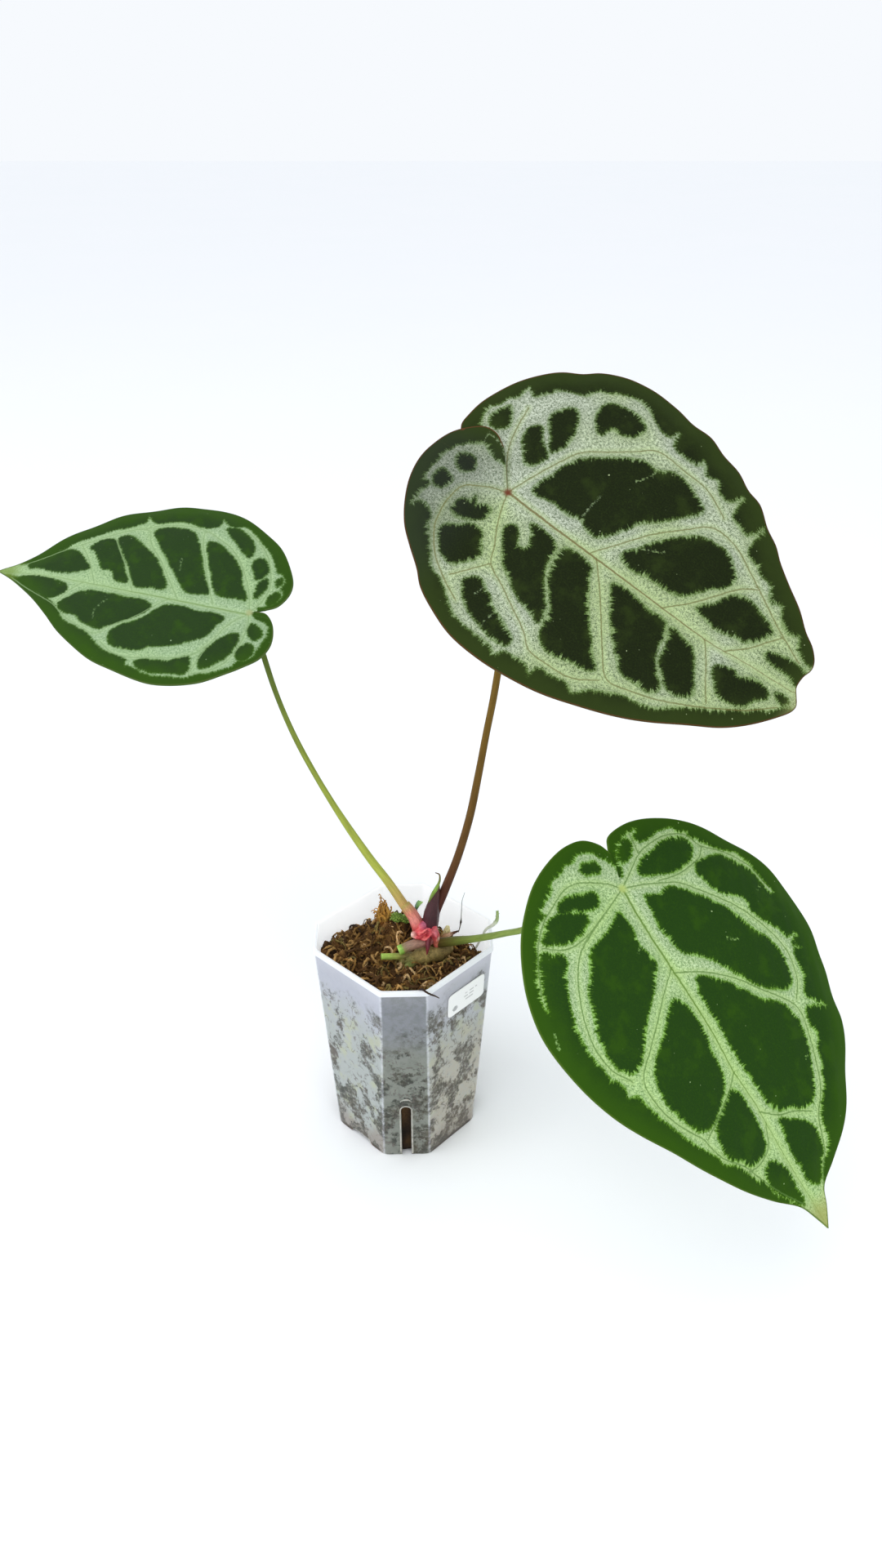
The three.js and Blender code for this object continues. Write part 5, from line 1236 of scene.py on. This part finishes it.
def build_moss():
    base = pot_ring(MOSS_LEVEL, WALL + GAP, 1.5, 24)
    rings = []
    # crumbly top, from the middle out, then the sides down to the floor of the pot
    for s in np.linspace(0.02, 1, 46) ** 0.85:
        ring = base * (s, s, 0)
        flat = ring[:, :2]
        crumb = 1.3 * waves(flat, 7, 1) + 0.9 * waves(flat, 2.8, 2) + 0.4 * waves(flat, 1.3, 3)
        ring[:, 2] = moss_height(*flat.T) + (crumb - 0.9) * (1 - 0.5 * s**8)
        rings.append(ring)
    for z in (80, 50, 34, 24, 14, 7, 1.8):
        ring = pot_ring(z, WALL + GAP + 0.1, 1.5, 24)
        ring += waves(ring, 3, 4)[:, None] * (ring * (0.011, 0.011, 0)) - ring * (0.012, 0.012, 0)
        rings.append(ring)
    rings += [rings[-1] * (s, s, 1) for s in (0.7, 0.35)]
    points, faces = loft(rings[::-1])
    shade = 0.5 + 0.5 * waves(points, 9, 5)
    tint = gradient(shade, (0, 46, 30, 14), (0.5, 90, 62, 32), (1, 134, 98, 54))
    # painted shade: the moss is darkened below its top, deep in the pot
    tint *= (0.25 + 0.75 * step(points[:, 2], 84, 94))[:, None]
    body = Body().add(points, faces, skin=points, tint=tint)
    # curled strands that wander over the top
    rng = np.random.default_rng(21)
    leaf_rng = np.random.default_rng(22)
    for _ in range(STRANDS):
        start = rng.uniform(-34, 34, 2)
        heading = rng.uniform(0, FULL_TURN)
        curl = rng.normal(0, 0.6)
        reach = rng.uniform(4, 14)
        rise = rng.uniform(0.4, 3.2) if rng.random() < 0.8 else rng.uniform(3, 5.5)
        path = []
        for i in range(7):
            path.append((*start, 0))
            start = start + reach / 6 * np.array([math.cos(heading), math.sin(heading)])
            heading += curl + rng.normal(0, 0.4)
        path = keep_inside(np.array(path) + (0, 0, MOSS_LEVEL), 1.4)
        path[:, 2] = moss_height(path[:, 0], path[:, 1]) - 1.3
        path[:, 2] += rise * np.sin(np.linspace(0, math.pi, 7)) + rng.normal(0, 0.35, 7)
        radius = rng.uniform(0.24, 0.82)
        radii = [0.6 * radius, 1.2 * radius, radius, 0.4 * radius]
        turn = rng.uniform(0, 3)
        bumps = scaly(rng, 0.42, 6)
        tone = np.array(MOSS_TONES[rng.choice(len(MOSS_TONES), p=MOSS_SHARES)])
        tone = np.clip(tone * rng.uniform(0.85, 1.15), 0, 255)
        body.tube(path, radii, 5, 16, 0.55, turn, (0, 0), bumps, tint=plain(tone))
        leaflets(body, leaf_rng, path, radius, tone)
    body.make("moss_filling", moss_paint, "brown_moss", ["potting_moss"])


def build_tuft():
    rng = np.random.default_rng(5)
    body = Body()
    for i in range(TUFT_STRANDS):
        short = i < SHORT_STRANDS
        lean, back = rng.normal(0, 1.4 if short else 0.55), rng.normal(0, 1.2)
        height = (rng.uniform(2.5, 7) if short else rng.uniform(7, 12.8)) + 2
        root = np.array([-9.4 + 0.8 * lean, 11.5 + 0.7 * back, 101.5])
        bow = rng.uniform(-2, 2)
        hook = rng.uniform(-1.3, 1.1)
        path = [
            root,
            root + (0.4 * lean + bow, 0.4 * back, 0.45 * height),
            root + (0.8 * lean + 0.4 * bow, 0.7 * back, 0.85 * height),
            root + (0.8 * lean + hook, 0.9 * back, height),
            root + (0.8 * lean + 1.6 * hook, back, height - 1),
        ]
        radius = rng.uniform(0.35, 0.8)
        radii = [radius, 1.2 * radius, 0.9 * radius, 0.4 * radius]
        low = np.array((128, 88, 38)) * rng.uniform(0.8, 1.15)
        high = np.array((204, 156, 74)) * rng.uniform(0.8, 1.15)
        tint = fade((0, *low), (0.6, *high), (1, 158, 112, 54))
        body.tube(path, radii, 6, 18, 0.8, 0.0, (0, 1), scaly(rng, 0.3), tint=tint)
    body.lump((-9.4, 11.5, 103), (3.2, 2.5, 3), bumps=0.2, tint=plain((120, 78, 32)))
    body.make("golden_tuft", moss_paint, "golden_moss", ["moss_tuft"])


def build_green_moss():
    rng = np.random.default_rng(8)
    body = Body()
    cushions = (((-2.6, 8, 106.9), (2.6, 2.2, 1.7), 80), ((1.4, 8.6, 105.6), (2.1, 1.8, 1.6), 55))
    for centre, size, count in cushions:
        body.lump(centre, size, bumps=0.2, tint=plain((96, 124, 46)))
        for _ in range(count):
            out = rng.normal(size=3)
            out[2] = abs(out[2]) * 0.8
            out = unit(out)
            foot = centre + out * size * 0.85
            tip = foot + out * rng.uniform(0.6, 1.5) + rng.normal(0, 0.4, 3)
            tint = fade((0, 86, 118, 40), (1, *np.array((158, 188, 84)) * rng.uniform(0.65, 1.1)))
            path = [foot, (foot + tip) / 2 + rng.normal(0, 0.15, 3), tip]
            body.tube(path, [0.3, 0.42, 0.1], 5, 7, 0.5, rng.uniform(0, 3), (0, 0), tint=tint)
    skin = living("live_moss", 0.7, 0.2, 0.2, 0.5, 2.0, 0.2, 0.3)
    body.make("live_moss", skin, "live_moss", ["green_moss"])


moss_paint = living("curled_moss", 0.85, 0.35, 0.3, 0.5, 1.6, 0.35, 0.2)
build_moss()
build_tuft()
build_green_moss()

# Small things growing in the moss
soft_skin = living("soft_skin", 0.5, 0.22, 0.15, 0.2, 2.0, 0.12)
dry_skin = living("dry_skin", 0.75, 0.35, 0.25, 0.15, 2.5, 0.25, 0.25)
Body().tube(
    [(5.4, 7.5, 101), (5.8, 6.6, 108), (5.6, 5.6, 113.6)], [0.8, 0.7, 0.6], 10, 20,
    tint=fade((0, 120, 100, 60), (1, 96, 132, 62)),
).tube(
    [(5.2, 5.6, 113), (5.8, 4.8, 115.5), (6.8, 4, 117.6), (8.6, 3.6, 118.8)], [0.5, 2.3, 2.1, 0.3],
    20, 30, 0.3, 0.2, bumps=lambda share, angle: 0.06 * np.cos(3 * angle),
    tint=fade((0, 28, 62, 40), (0.5, 38, 84, 50), (0.75, 104, 150, 78), (1, 150, 186, 110)),
).make("seedling_leaf_fine", soft_skin, "seedling", ["seedling_leaf"])


def build_sprout():
    rng = np.random.default_rng(3)
    path = [(32.4, 3, 94), (35, 3, 100), (36.8, 3, 104.4), (39.8, 3, 106.8), (41.4, 3, 109.4)]
    path.append((41.6, 3, 114))
    tint = fade((0, 216, 218, 206), (0.7, 212, 216, 196), (0.85, 168, 188, 128), (1, 150, 176, 104))
    body = Body().tube(path, [0.5, 0.5, 0.6, 0.9, 0.6], 10, 50, tint=tint)
    for i, root in list(enumerate(smooth_path(path, 60)))[42:]:
        tip = root + np.array([math.cos(2.4 * i), math.sin(2.4 * i), 0.9]) * 0.85
        tint = fade((0, 96, 124, 58), (1, *np.array((172, 190, 138)) * rng.uniform(0.7, 1.15)))
        bent = [root, (root + tip) / 2 + (0, 0, -0.1), tip]
        body.tube(bent, [0.35, 0.5, 0.12], 5, 6, 0.4, 0.0, (0, 0), tint=tint)
    body.make("sprout_sprig", soft_skin, "sprout_green", ["sprout"])


build_sprout()
ROOTS = {
    "aerial_root_1": [
        (-25, 13, 95), (-24.4, 12.4, 98.8), (-22, 11, 100.4), (-20, 9, 99.4), (-19.3, 8, 94.5),
    ],
    "aerial_root_2": [
        (-18.6, 14, 94.5), (-18, 13, 99.2), (-13.4, 9, 101.2), (-9.2, 3, 99.8), (-8, 1.2, 95),
    ],
    "rim_strand": [
        (7.2, -34.6, 98), (8.2, -37.4, 104), (9.2, -39, 105.3), (10.8, -40.5, 105.1), (12.3, -40.4, 104),
        (14.3, -38.6, 101.5), (15.9, -36.5, 98.6),
    ],
}
for name, path in ROOTS.items():
    Body().tube(
        path, [0.42, 0.48, 0.46, 0.36, 0.2], 10, 60,
        bumps=scaly(np.random.default_rng(len(path)), 0.12, 14),
        tint=fade((0, 62, 42, 30), (0.4, 40, 28, 22), (1, 74, 52, 34)),
    ).make(name + "_fine", dry_skin, "root_brown", [name])

# Crown: creeping stem, cut stubs, sheaths, bud and dry remains
stem_skin = living("stem_skin", 0.6, 0.3, 0.2, 1.0, 0.9, 0.4, 0.3)
scale_skin = living("scale_skin", 0.42, 0.25, 0.12, 0.3, 1.6, 0.15)


def mixed(base, *spots):
    """A tint by position: a base function and (centre, reach, colour) spots that fade away."""

    def tint(points):
        colour = base(points)
        for centre, reach, tone in spots:
            share = bell(np.linalg.norm(points - np.array(centre), axis=1), reach)[:, None]
            colour = colour * (1 - share) + plain(tone) * share
        return colour

    return tint


def stem_shade(points):
    return gradient(
        points[:, 2], (88, 50, 38, 18), (96, 78, 62, 32), (99, 128, 110, 60), (102, 158, 138, 84)
    )


Body().tube(
    [(20, -5.4, 100.2), (15, -6.4, 98.9), (9, -8, 98), (4, -9.8, 97.6), (0, -11, 97.4)],
    [2.3, 3.2, 4.5, 4.1, 4.4, 3.9, 3.4, 3, 2], 32, 50,
    bumps=lambda share, angle: 0.05 * np.sin(40 * share) + 0.05 * np.sin(3 * angle + 9 * share),
).tube(
    [(11, -6.4, 99), (10.5, -5, 92), (10, -4, 84)], [4, 3.4, 2], 24, 20
).tube(
    [(5, -11, 97.6), (3.4, -13.6, 98), (2, -15.2, 98.6)], [2.1, 1.8, 1.2], 20, 16
).fuse(0.3, 6, mixed(
    stem_shade, ((2.5, -15, 98.5), 2.6, (106, 122, 60)), ((1, -11, 98), 3.0, (96, 96, 48)),
    ((18, -7, 100), 5.0, (112, 94, 54)),
)).make("creeping_stem", stem_skin, "stem_olive", ["stem"])

Body().tube(
    [(11.6, -8, 106.6), (4.8, -9.8, 105.9), (-1.8, -11.6, 104)], [2.1, 2.25, 2.2], 28, 60, caps=(1, 0),
    tint=fade(
        (0, 150, 84, 84), (0.3, 158, 116, 100), (0.7, 140, 112, 92), (0.82, 134, 120, 76),
        (0.88, 124, 172, 62), (1, 168, 206, 98),
    ),
).make("upper_stub", scale_skin, "stub_pink_brown", ["upper_cut_stub"])

Body().tube(
    [(7, -8.4, 99), (-1.2, -10, 99.6), (-9.3, -12, 101)], [1.8, 1.5, 1.4], 28, 60, caps=(1, 0),
    tint=fade((0, 110, 92, 50), (0.4, 130, 118, 60), (0.7, 148, 164, 76), (1, 158, 190, 84)),
).make("lower_stub", scale_skin, "stub_green", ["lower_cut_stub"])

Body().tube(
    [(11.9, -4.2, 111), (12.2, -4, 115), (12.9, -3.8, 120), (14, -3.6, 126), (15.3, -3.4, 132.5)],
    [3.5, 3.7, 3.6, 3.0, 2.4, 1.8, 0.9], 40, 70,
    bumps=lambda share, angle: 0.05 * np.cos(2 * angle + 2 * share) + 0.03 * np.sin(7 * angle),
    tint=fade((0, 78, 26, 40), (0.3, 58, 20, 28), (0.7, 66, 26, 30), (1, 84, 46, 34)),
).make("burgundy_sheath", scale_skin, "cataphyll_burgundy", ["cataphyll"])

Body().tube(
    [(11.4, -6.4, 126.4), (13.2, -6.4, 130.6), (15, -6.3, 134), (16.2, -6.2, 138), (15.9, -6, 140.5),
     (14.4, -5.9, 141.2)],
    [0.3, 0.7, 0.85, 0.6, 0.4, 0.2], 20, 50,
    tint=fade((0, 96, 110, 40), (0.5, 122, 156, 56), (0.8, 104, 96, 44), (1, 92, 60, 40)),
).make("hooked_tip", soft_skin, "tip_green", ["cataphyll_tip"])

Body().tube(
    [(7.8, -5.4, 108), (6.6, -4.6, 112.7), (4, -3, 117.6), (1, -1, 121.2)], [2.8, 2.9, 2.6, 2.25], 36, 60,
    caps=(1, 0),
    bumps=lambda share, angle: 0.07 * np.cos(angle - 1) + 0.04 * np.sin(5 * angle + 3 * share),
    tint=fade(
        (0, 190, 70, 78), (0.3, 204, 92, 90), (0.5, 216, 132, 122), (0.7, 198, 118, 100),
        (0.9, 178, 140, 88), (1, 160, 146, 70),
    ),
).make("pink_sheath_fine", scale_skin, "sheath_pink", ["pink_sheath"])


def bud_shade(points):
    return gradient(
        0.5 + 0.5 * waves(points, 3, 9), (0, 164, 34, 46), (0.45, 206, 62, 70), (1, 228, 112, 110)
    )


bud = Body()
bud.lump((8.4, -8.2, 111.2), (3.2, 2.5, 2.4), 0.2, 0.14)
bud.lump((5.2, -8.4, 110.4), (1.7, 1.5, 1.5), 0.6, 0.1)
bud.lump((11.4, -7.6, 111), (2.3, 2.3, 2.5), -0.4, 0.14)
bud.lump((9.2, -6.2, 113.8), (2.3, 1.8, 1.8), 0.3, 0.1)
bud.tube([(13.4, -6.4, 113), (14.3, -7, 108.6), (14.8, -7.4, 104.2)], [1.5, 1.9, 1.5], 24, 24)
for edge in (
    [(4.8, -9.6, 109.4), (7.6, -10.8, 110.4), (10.2, -10.4, 112.6)],
    [(6, -9, 112.4), (8.4, -10.2, 113), (10.6, -9.4, 114)],
    [(7.4, -10.2, 109), (10, -10.6, 109.4), (12.6, -9.6, 111.6)],
    [(12.6, -8.6, 113.2), (14.4, -9, 110.4), (14.8, -9.2, 106.6)],
):
    bud.tube(edge, [0.25, 0.75, 0.3], 12, 24)
bud.fuse(0.2, 2, mixed(
    bud_shade, ((3.8, -9, 110.4), 1.7, (238, 204, 190)), ((14.4, -8.5, 111.5), 2.0, (206, 110, 122)),
    ((15, -9, 105.6), 2.4, (206, 112, 92)), ((9.4, -7, 114.6), 2.0, (176, 96, 124)),
    ((16, -8.6, 108), 1.0, (232, 208, 190)),
)).make("red_bud", scale_skin, "bud_red", ["bud_scales"])

Body().tube(
    [(11.2, -9, 109), (11, -11.8, 106.6), (10.6, -13, 103.4)], [2.2, 2, 0.6], 24, 40, 0.55,
    tint=fade((0, 112, 32, 44), (0.5, 100, 28, 40), (1, 132, 52, 60)),
).make("dark_scale_fine", scale_skin, "scale_dark_red", ["dark_scale"])


def crumple(share, angle):
    return 0.14 * np.sin(4 * angle + 11 * share) + 0.08 * np.sin(17 * share)


Body().tube(
    [(15.5, -3.4, 100.5), (17.8, -4, 105.4), (20.6, -3.8, 106.8), (24, -3.6, 108.4)],
    [1.5, 1.7, 1.3, 0.5], 24, 50, 0.5, bumps=crumple,
    tint=fade(
        (0, 132, 92, 60), (0.45, 160, 116, 72), (0.7, 208, 168, 140), (0.85, 92, 60, 44), (1, 60, 44, 34)
    ),
).tube(
    [(17, -2.4, 100), (18.8, -1.4, 104.6), (19.6, -1, 108.2)], [1.3, 1.7, 1.2], 20, 30, bumps=crumple,
    tint=fade((0, 140, 110, 70), (0.6, 196, 176, 118), (1, 232, 222, 170)),
).lump(
    (17.2, -7.6, 106.2), (0.8, 0.8, 0.8), tint=plain((244, 236, 226))
).make("dry_scales", dry_skin, "dry_scale_brown", ["dry_scale"])

Body().tube(
    [(24.4, -3, 107.6), (25.3, -2, 111.3), (25.7, 1, 116.2), (26, 4, 119.3), (27.1, 6, 122.3)],
    [0.22, 0.24, 0.2, 0.16, 0.12], 8, 70, bumps=lambda share, angle: 1.1 * bell(share - 0.27, 0.05),
    tint=fade((0, 110, 100, 84), (0.27, 72, 66, 60), (0.4, 140, 142, 134), (1, 176, 184, 184)),
).make("dry_thread_fine", dry_skin, "dry_thread_grey", ["dry_thread"])

# Petioles, ending square against the underside of their blades: path, radii, slot and tints
PETIOLES = {
    "upper_right": (
        [(12, -3.8, 106.5), (13.8, -3, 117), (18.2, -2, 129.4), (23.7, -0.5, 145.4), (28.7, 1, 165),
         (32, 2.5, 183.9), (34.9, 4, 202.2), (37.9, 6, 219.7), (40.4, 8, 240), (41.6, 8, 265),
         (41.2, 4, 288)],
        [2.2, 2.05, 1.85, 1.75, 1.65, 1.55, 1.5, 1.45, 1.4, 1.4, 1.45],
        "petiole_brown",
        [(0, 66, 28, 30), (0.1, 78, 42, 32), (0.2, 92, 62, 30), (0.4, 102, 76, 28), (0.6, 114, 88, 30),
         (0.85, 130, 110, 40), (1, 140, 122, 52)],
    ),
    "lower_right": (
        [(14, -5.6, 103.6), (18.5, -8, 105.9), (23.8, -12, 109.9), (30.5, -20, 117.1), (37, -29, 125.5),
         (43.1, -38, 134.1), (48.3, -46, 141.6), (60, -54, 152), (72, -58, 161), (79, -60.5, 167.5)],
        [2.3, 2.1, 1.75, 1.55, 1.45, 1.4, 1.35, 1.35, 1.4, 1.5],
        "petiole_green",
        [(0, 80, 62, 32), (0.06, 82, 76, 32), (0.14, 94, 104, 44), (0.25, 114, 132, 60),
         (0.5, 124, 144, 70), (1, 126, 148, 72)],
    ),
    "left": (
        [(7, -4.6, 107), (5.2, -3.6, 114), (1, -1, 119.9), (-6.3, 4, 129.4), (-14.6, 11, 137.5),
         (-27.2, 23, 151), (-38.5, 34, 165.4), (-48.3, 44, 180.4), (-56, 53, 196), (-61.3, 60, 211),
         (-64.2, 62.8, 222)],
        [2.2, 2.1, 1.95, 1.8, 1.6, 1.4, 1.3, 1.25, 1.2, 1.2, 1.25],
        "petiole_green",
        [(0, 206, 120, 100), (0.1, 182, 150, 92), (0.2, 158, 166, 70), (0.5, 132, 144, 58),
         (0.8, 96, 112, 46), (1, 84, 98, 42)],
    ),
}


def petiole_groove(share, angle):
    return 0.02 * np.sin(23 * share) - 0.07 * bell(np.sin(angle / 2 - 0.4), 0.35)


petiole_skin = living("petiole_skin", 0.5, 0.2, 0.12, 0.06, 2.0, 0.1, 0.12)
for key, (path, radii, slot, tones) in PETIOLES.items():
    leaf = LEAVES[key]
    origin, ahead, across, normal, length = leaf_axes(leaf)
    square = unit(normal - ahead * 4 * leaf["arch"] / length)
    under = origin + normal * (junction_height(leaf) - BLADE_THICK)
    path = [*path, tuple(under - 5 * square), tuple(under - 0.35 * square)]
    stalk = Body().tube(
        path, [*radii, radii[-1], 1.3], 24, 150, caps=(1, 0), bumps=petiole_groove, tint=fade(*tones)
    )
    stalk.make("petiole_" + key + "_fine", petiole_skin, slot, ["petiole_" + key])

# Floor, light and camera, at the photograph's viewing angle
FLOOR_REACH = 6000
CAMERA_AT = (16.7, -431.8, 439.5)
CAMERA_DOWN = 30.86
FOCAL_PIXELS = 1500
IMAGE_HEIGHT = 1920
SENSOR = 36.0

floor_paint = Paint("studio_floor", 0.9, 0.1)
floor_tone = floor_paint.noise(floor_paint.place(), 0.004, 2, 0.5)
floor_colour = floor_paint.mix(floor_tone, rgb(250, 252, 254), rgb(252, 253, 255))
floor_paint.link(floor_paint.shader.inputs["Base Color"], floor_colour)
corners = [(x * FLOOR_REACH, y * FLOOR_REACH, 0) for x, y in ((-1, -1), (1, -1), (1, 1), (-1, 1))]
floor = new_object("studio_floor", corners, [(0, 1, 2, 3)])
floor.data.materials.append(floor_paint.material)

world = bpy.data.worlds.new("studio")
bpy.context.scene.world = world
world.use_nodes = True
world.node_tree.nodes["Background"].inputs["Color"].default_value = rgb(247, 250, 254)
world.node_tree.nodes["Background"].inputs["Strength"].default_value = 1.0


def area_light(name, at, aim, width, height, power):
    lamp = bpy.data.lights.new(name, "AREA")
    lamp.shape = "RECTANGLE"
    lamp.size = width
    lamp.size_y = height
    lamp.energy = power
    holder = bpy.data.objects.new(name, lamp)
    holder.location = at
    holder.rotation_euler = (Vector(aim) - Vector(at)).to_track_quat("-Z", "Y").to_euler()
    bpy.context.scene.collection.objects.link(holder)


area_light("key_light", (-0.35, -0.5, 1.5), (0, 0, 0.15), 1.0, 0.8, 5)
area_light("front_light", (0.2, -1.1, 0.75), (0, 0, 0.12), 1.0, 0.8, 3)
area_light("side_light", (-1.3, -0.2, 0.7), (0, 0, 0.15), 0.8, 0.8, 2.5)

camera_data = bpy.data.cameras.new("camera")
camera_data.sensor_width = SENSOR
camera_data.lens = SENSOR * FOCAL_PIXELS / IMAGE_HEIGHT
camera_data.clip_start = 0.01
camera = bpy.data.objects.new("camera", camera_data)
camera.location = [c * MM for c in CAMERA_AT]
camera.rotation_euler = (math.radians(90 - CAMERA_DOWN), 0, 0)
bpy.context.scene.collection.objects.link(camera)
bpy.context.scene.camera = camera
bpy.context.scene.view_settings.view_transform = "Standard"
bpy.context.scene.view_settings.look = "None"
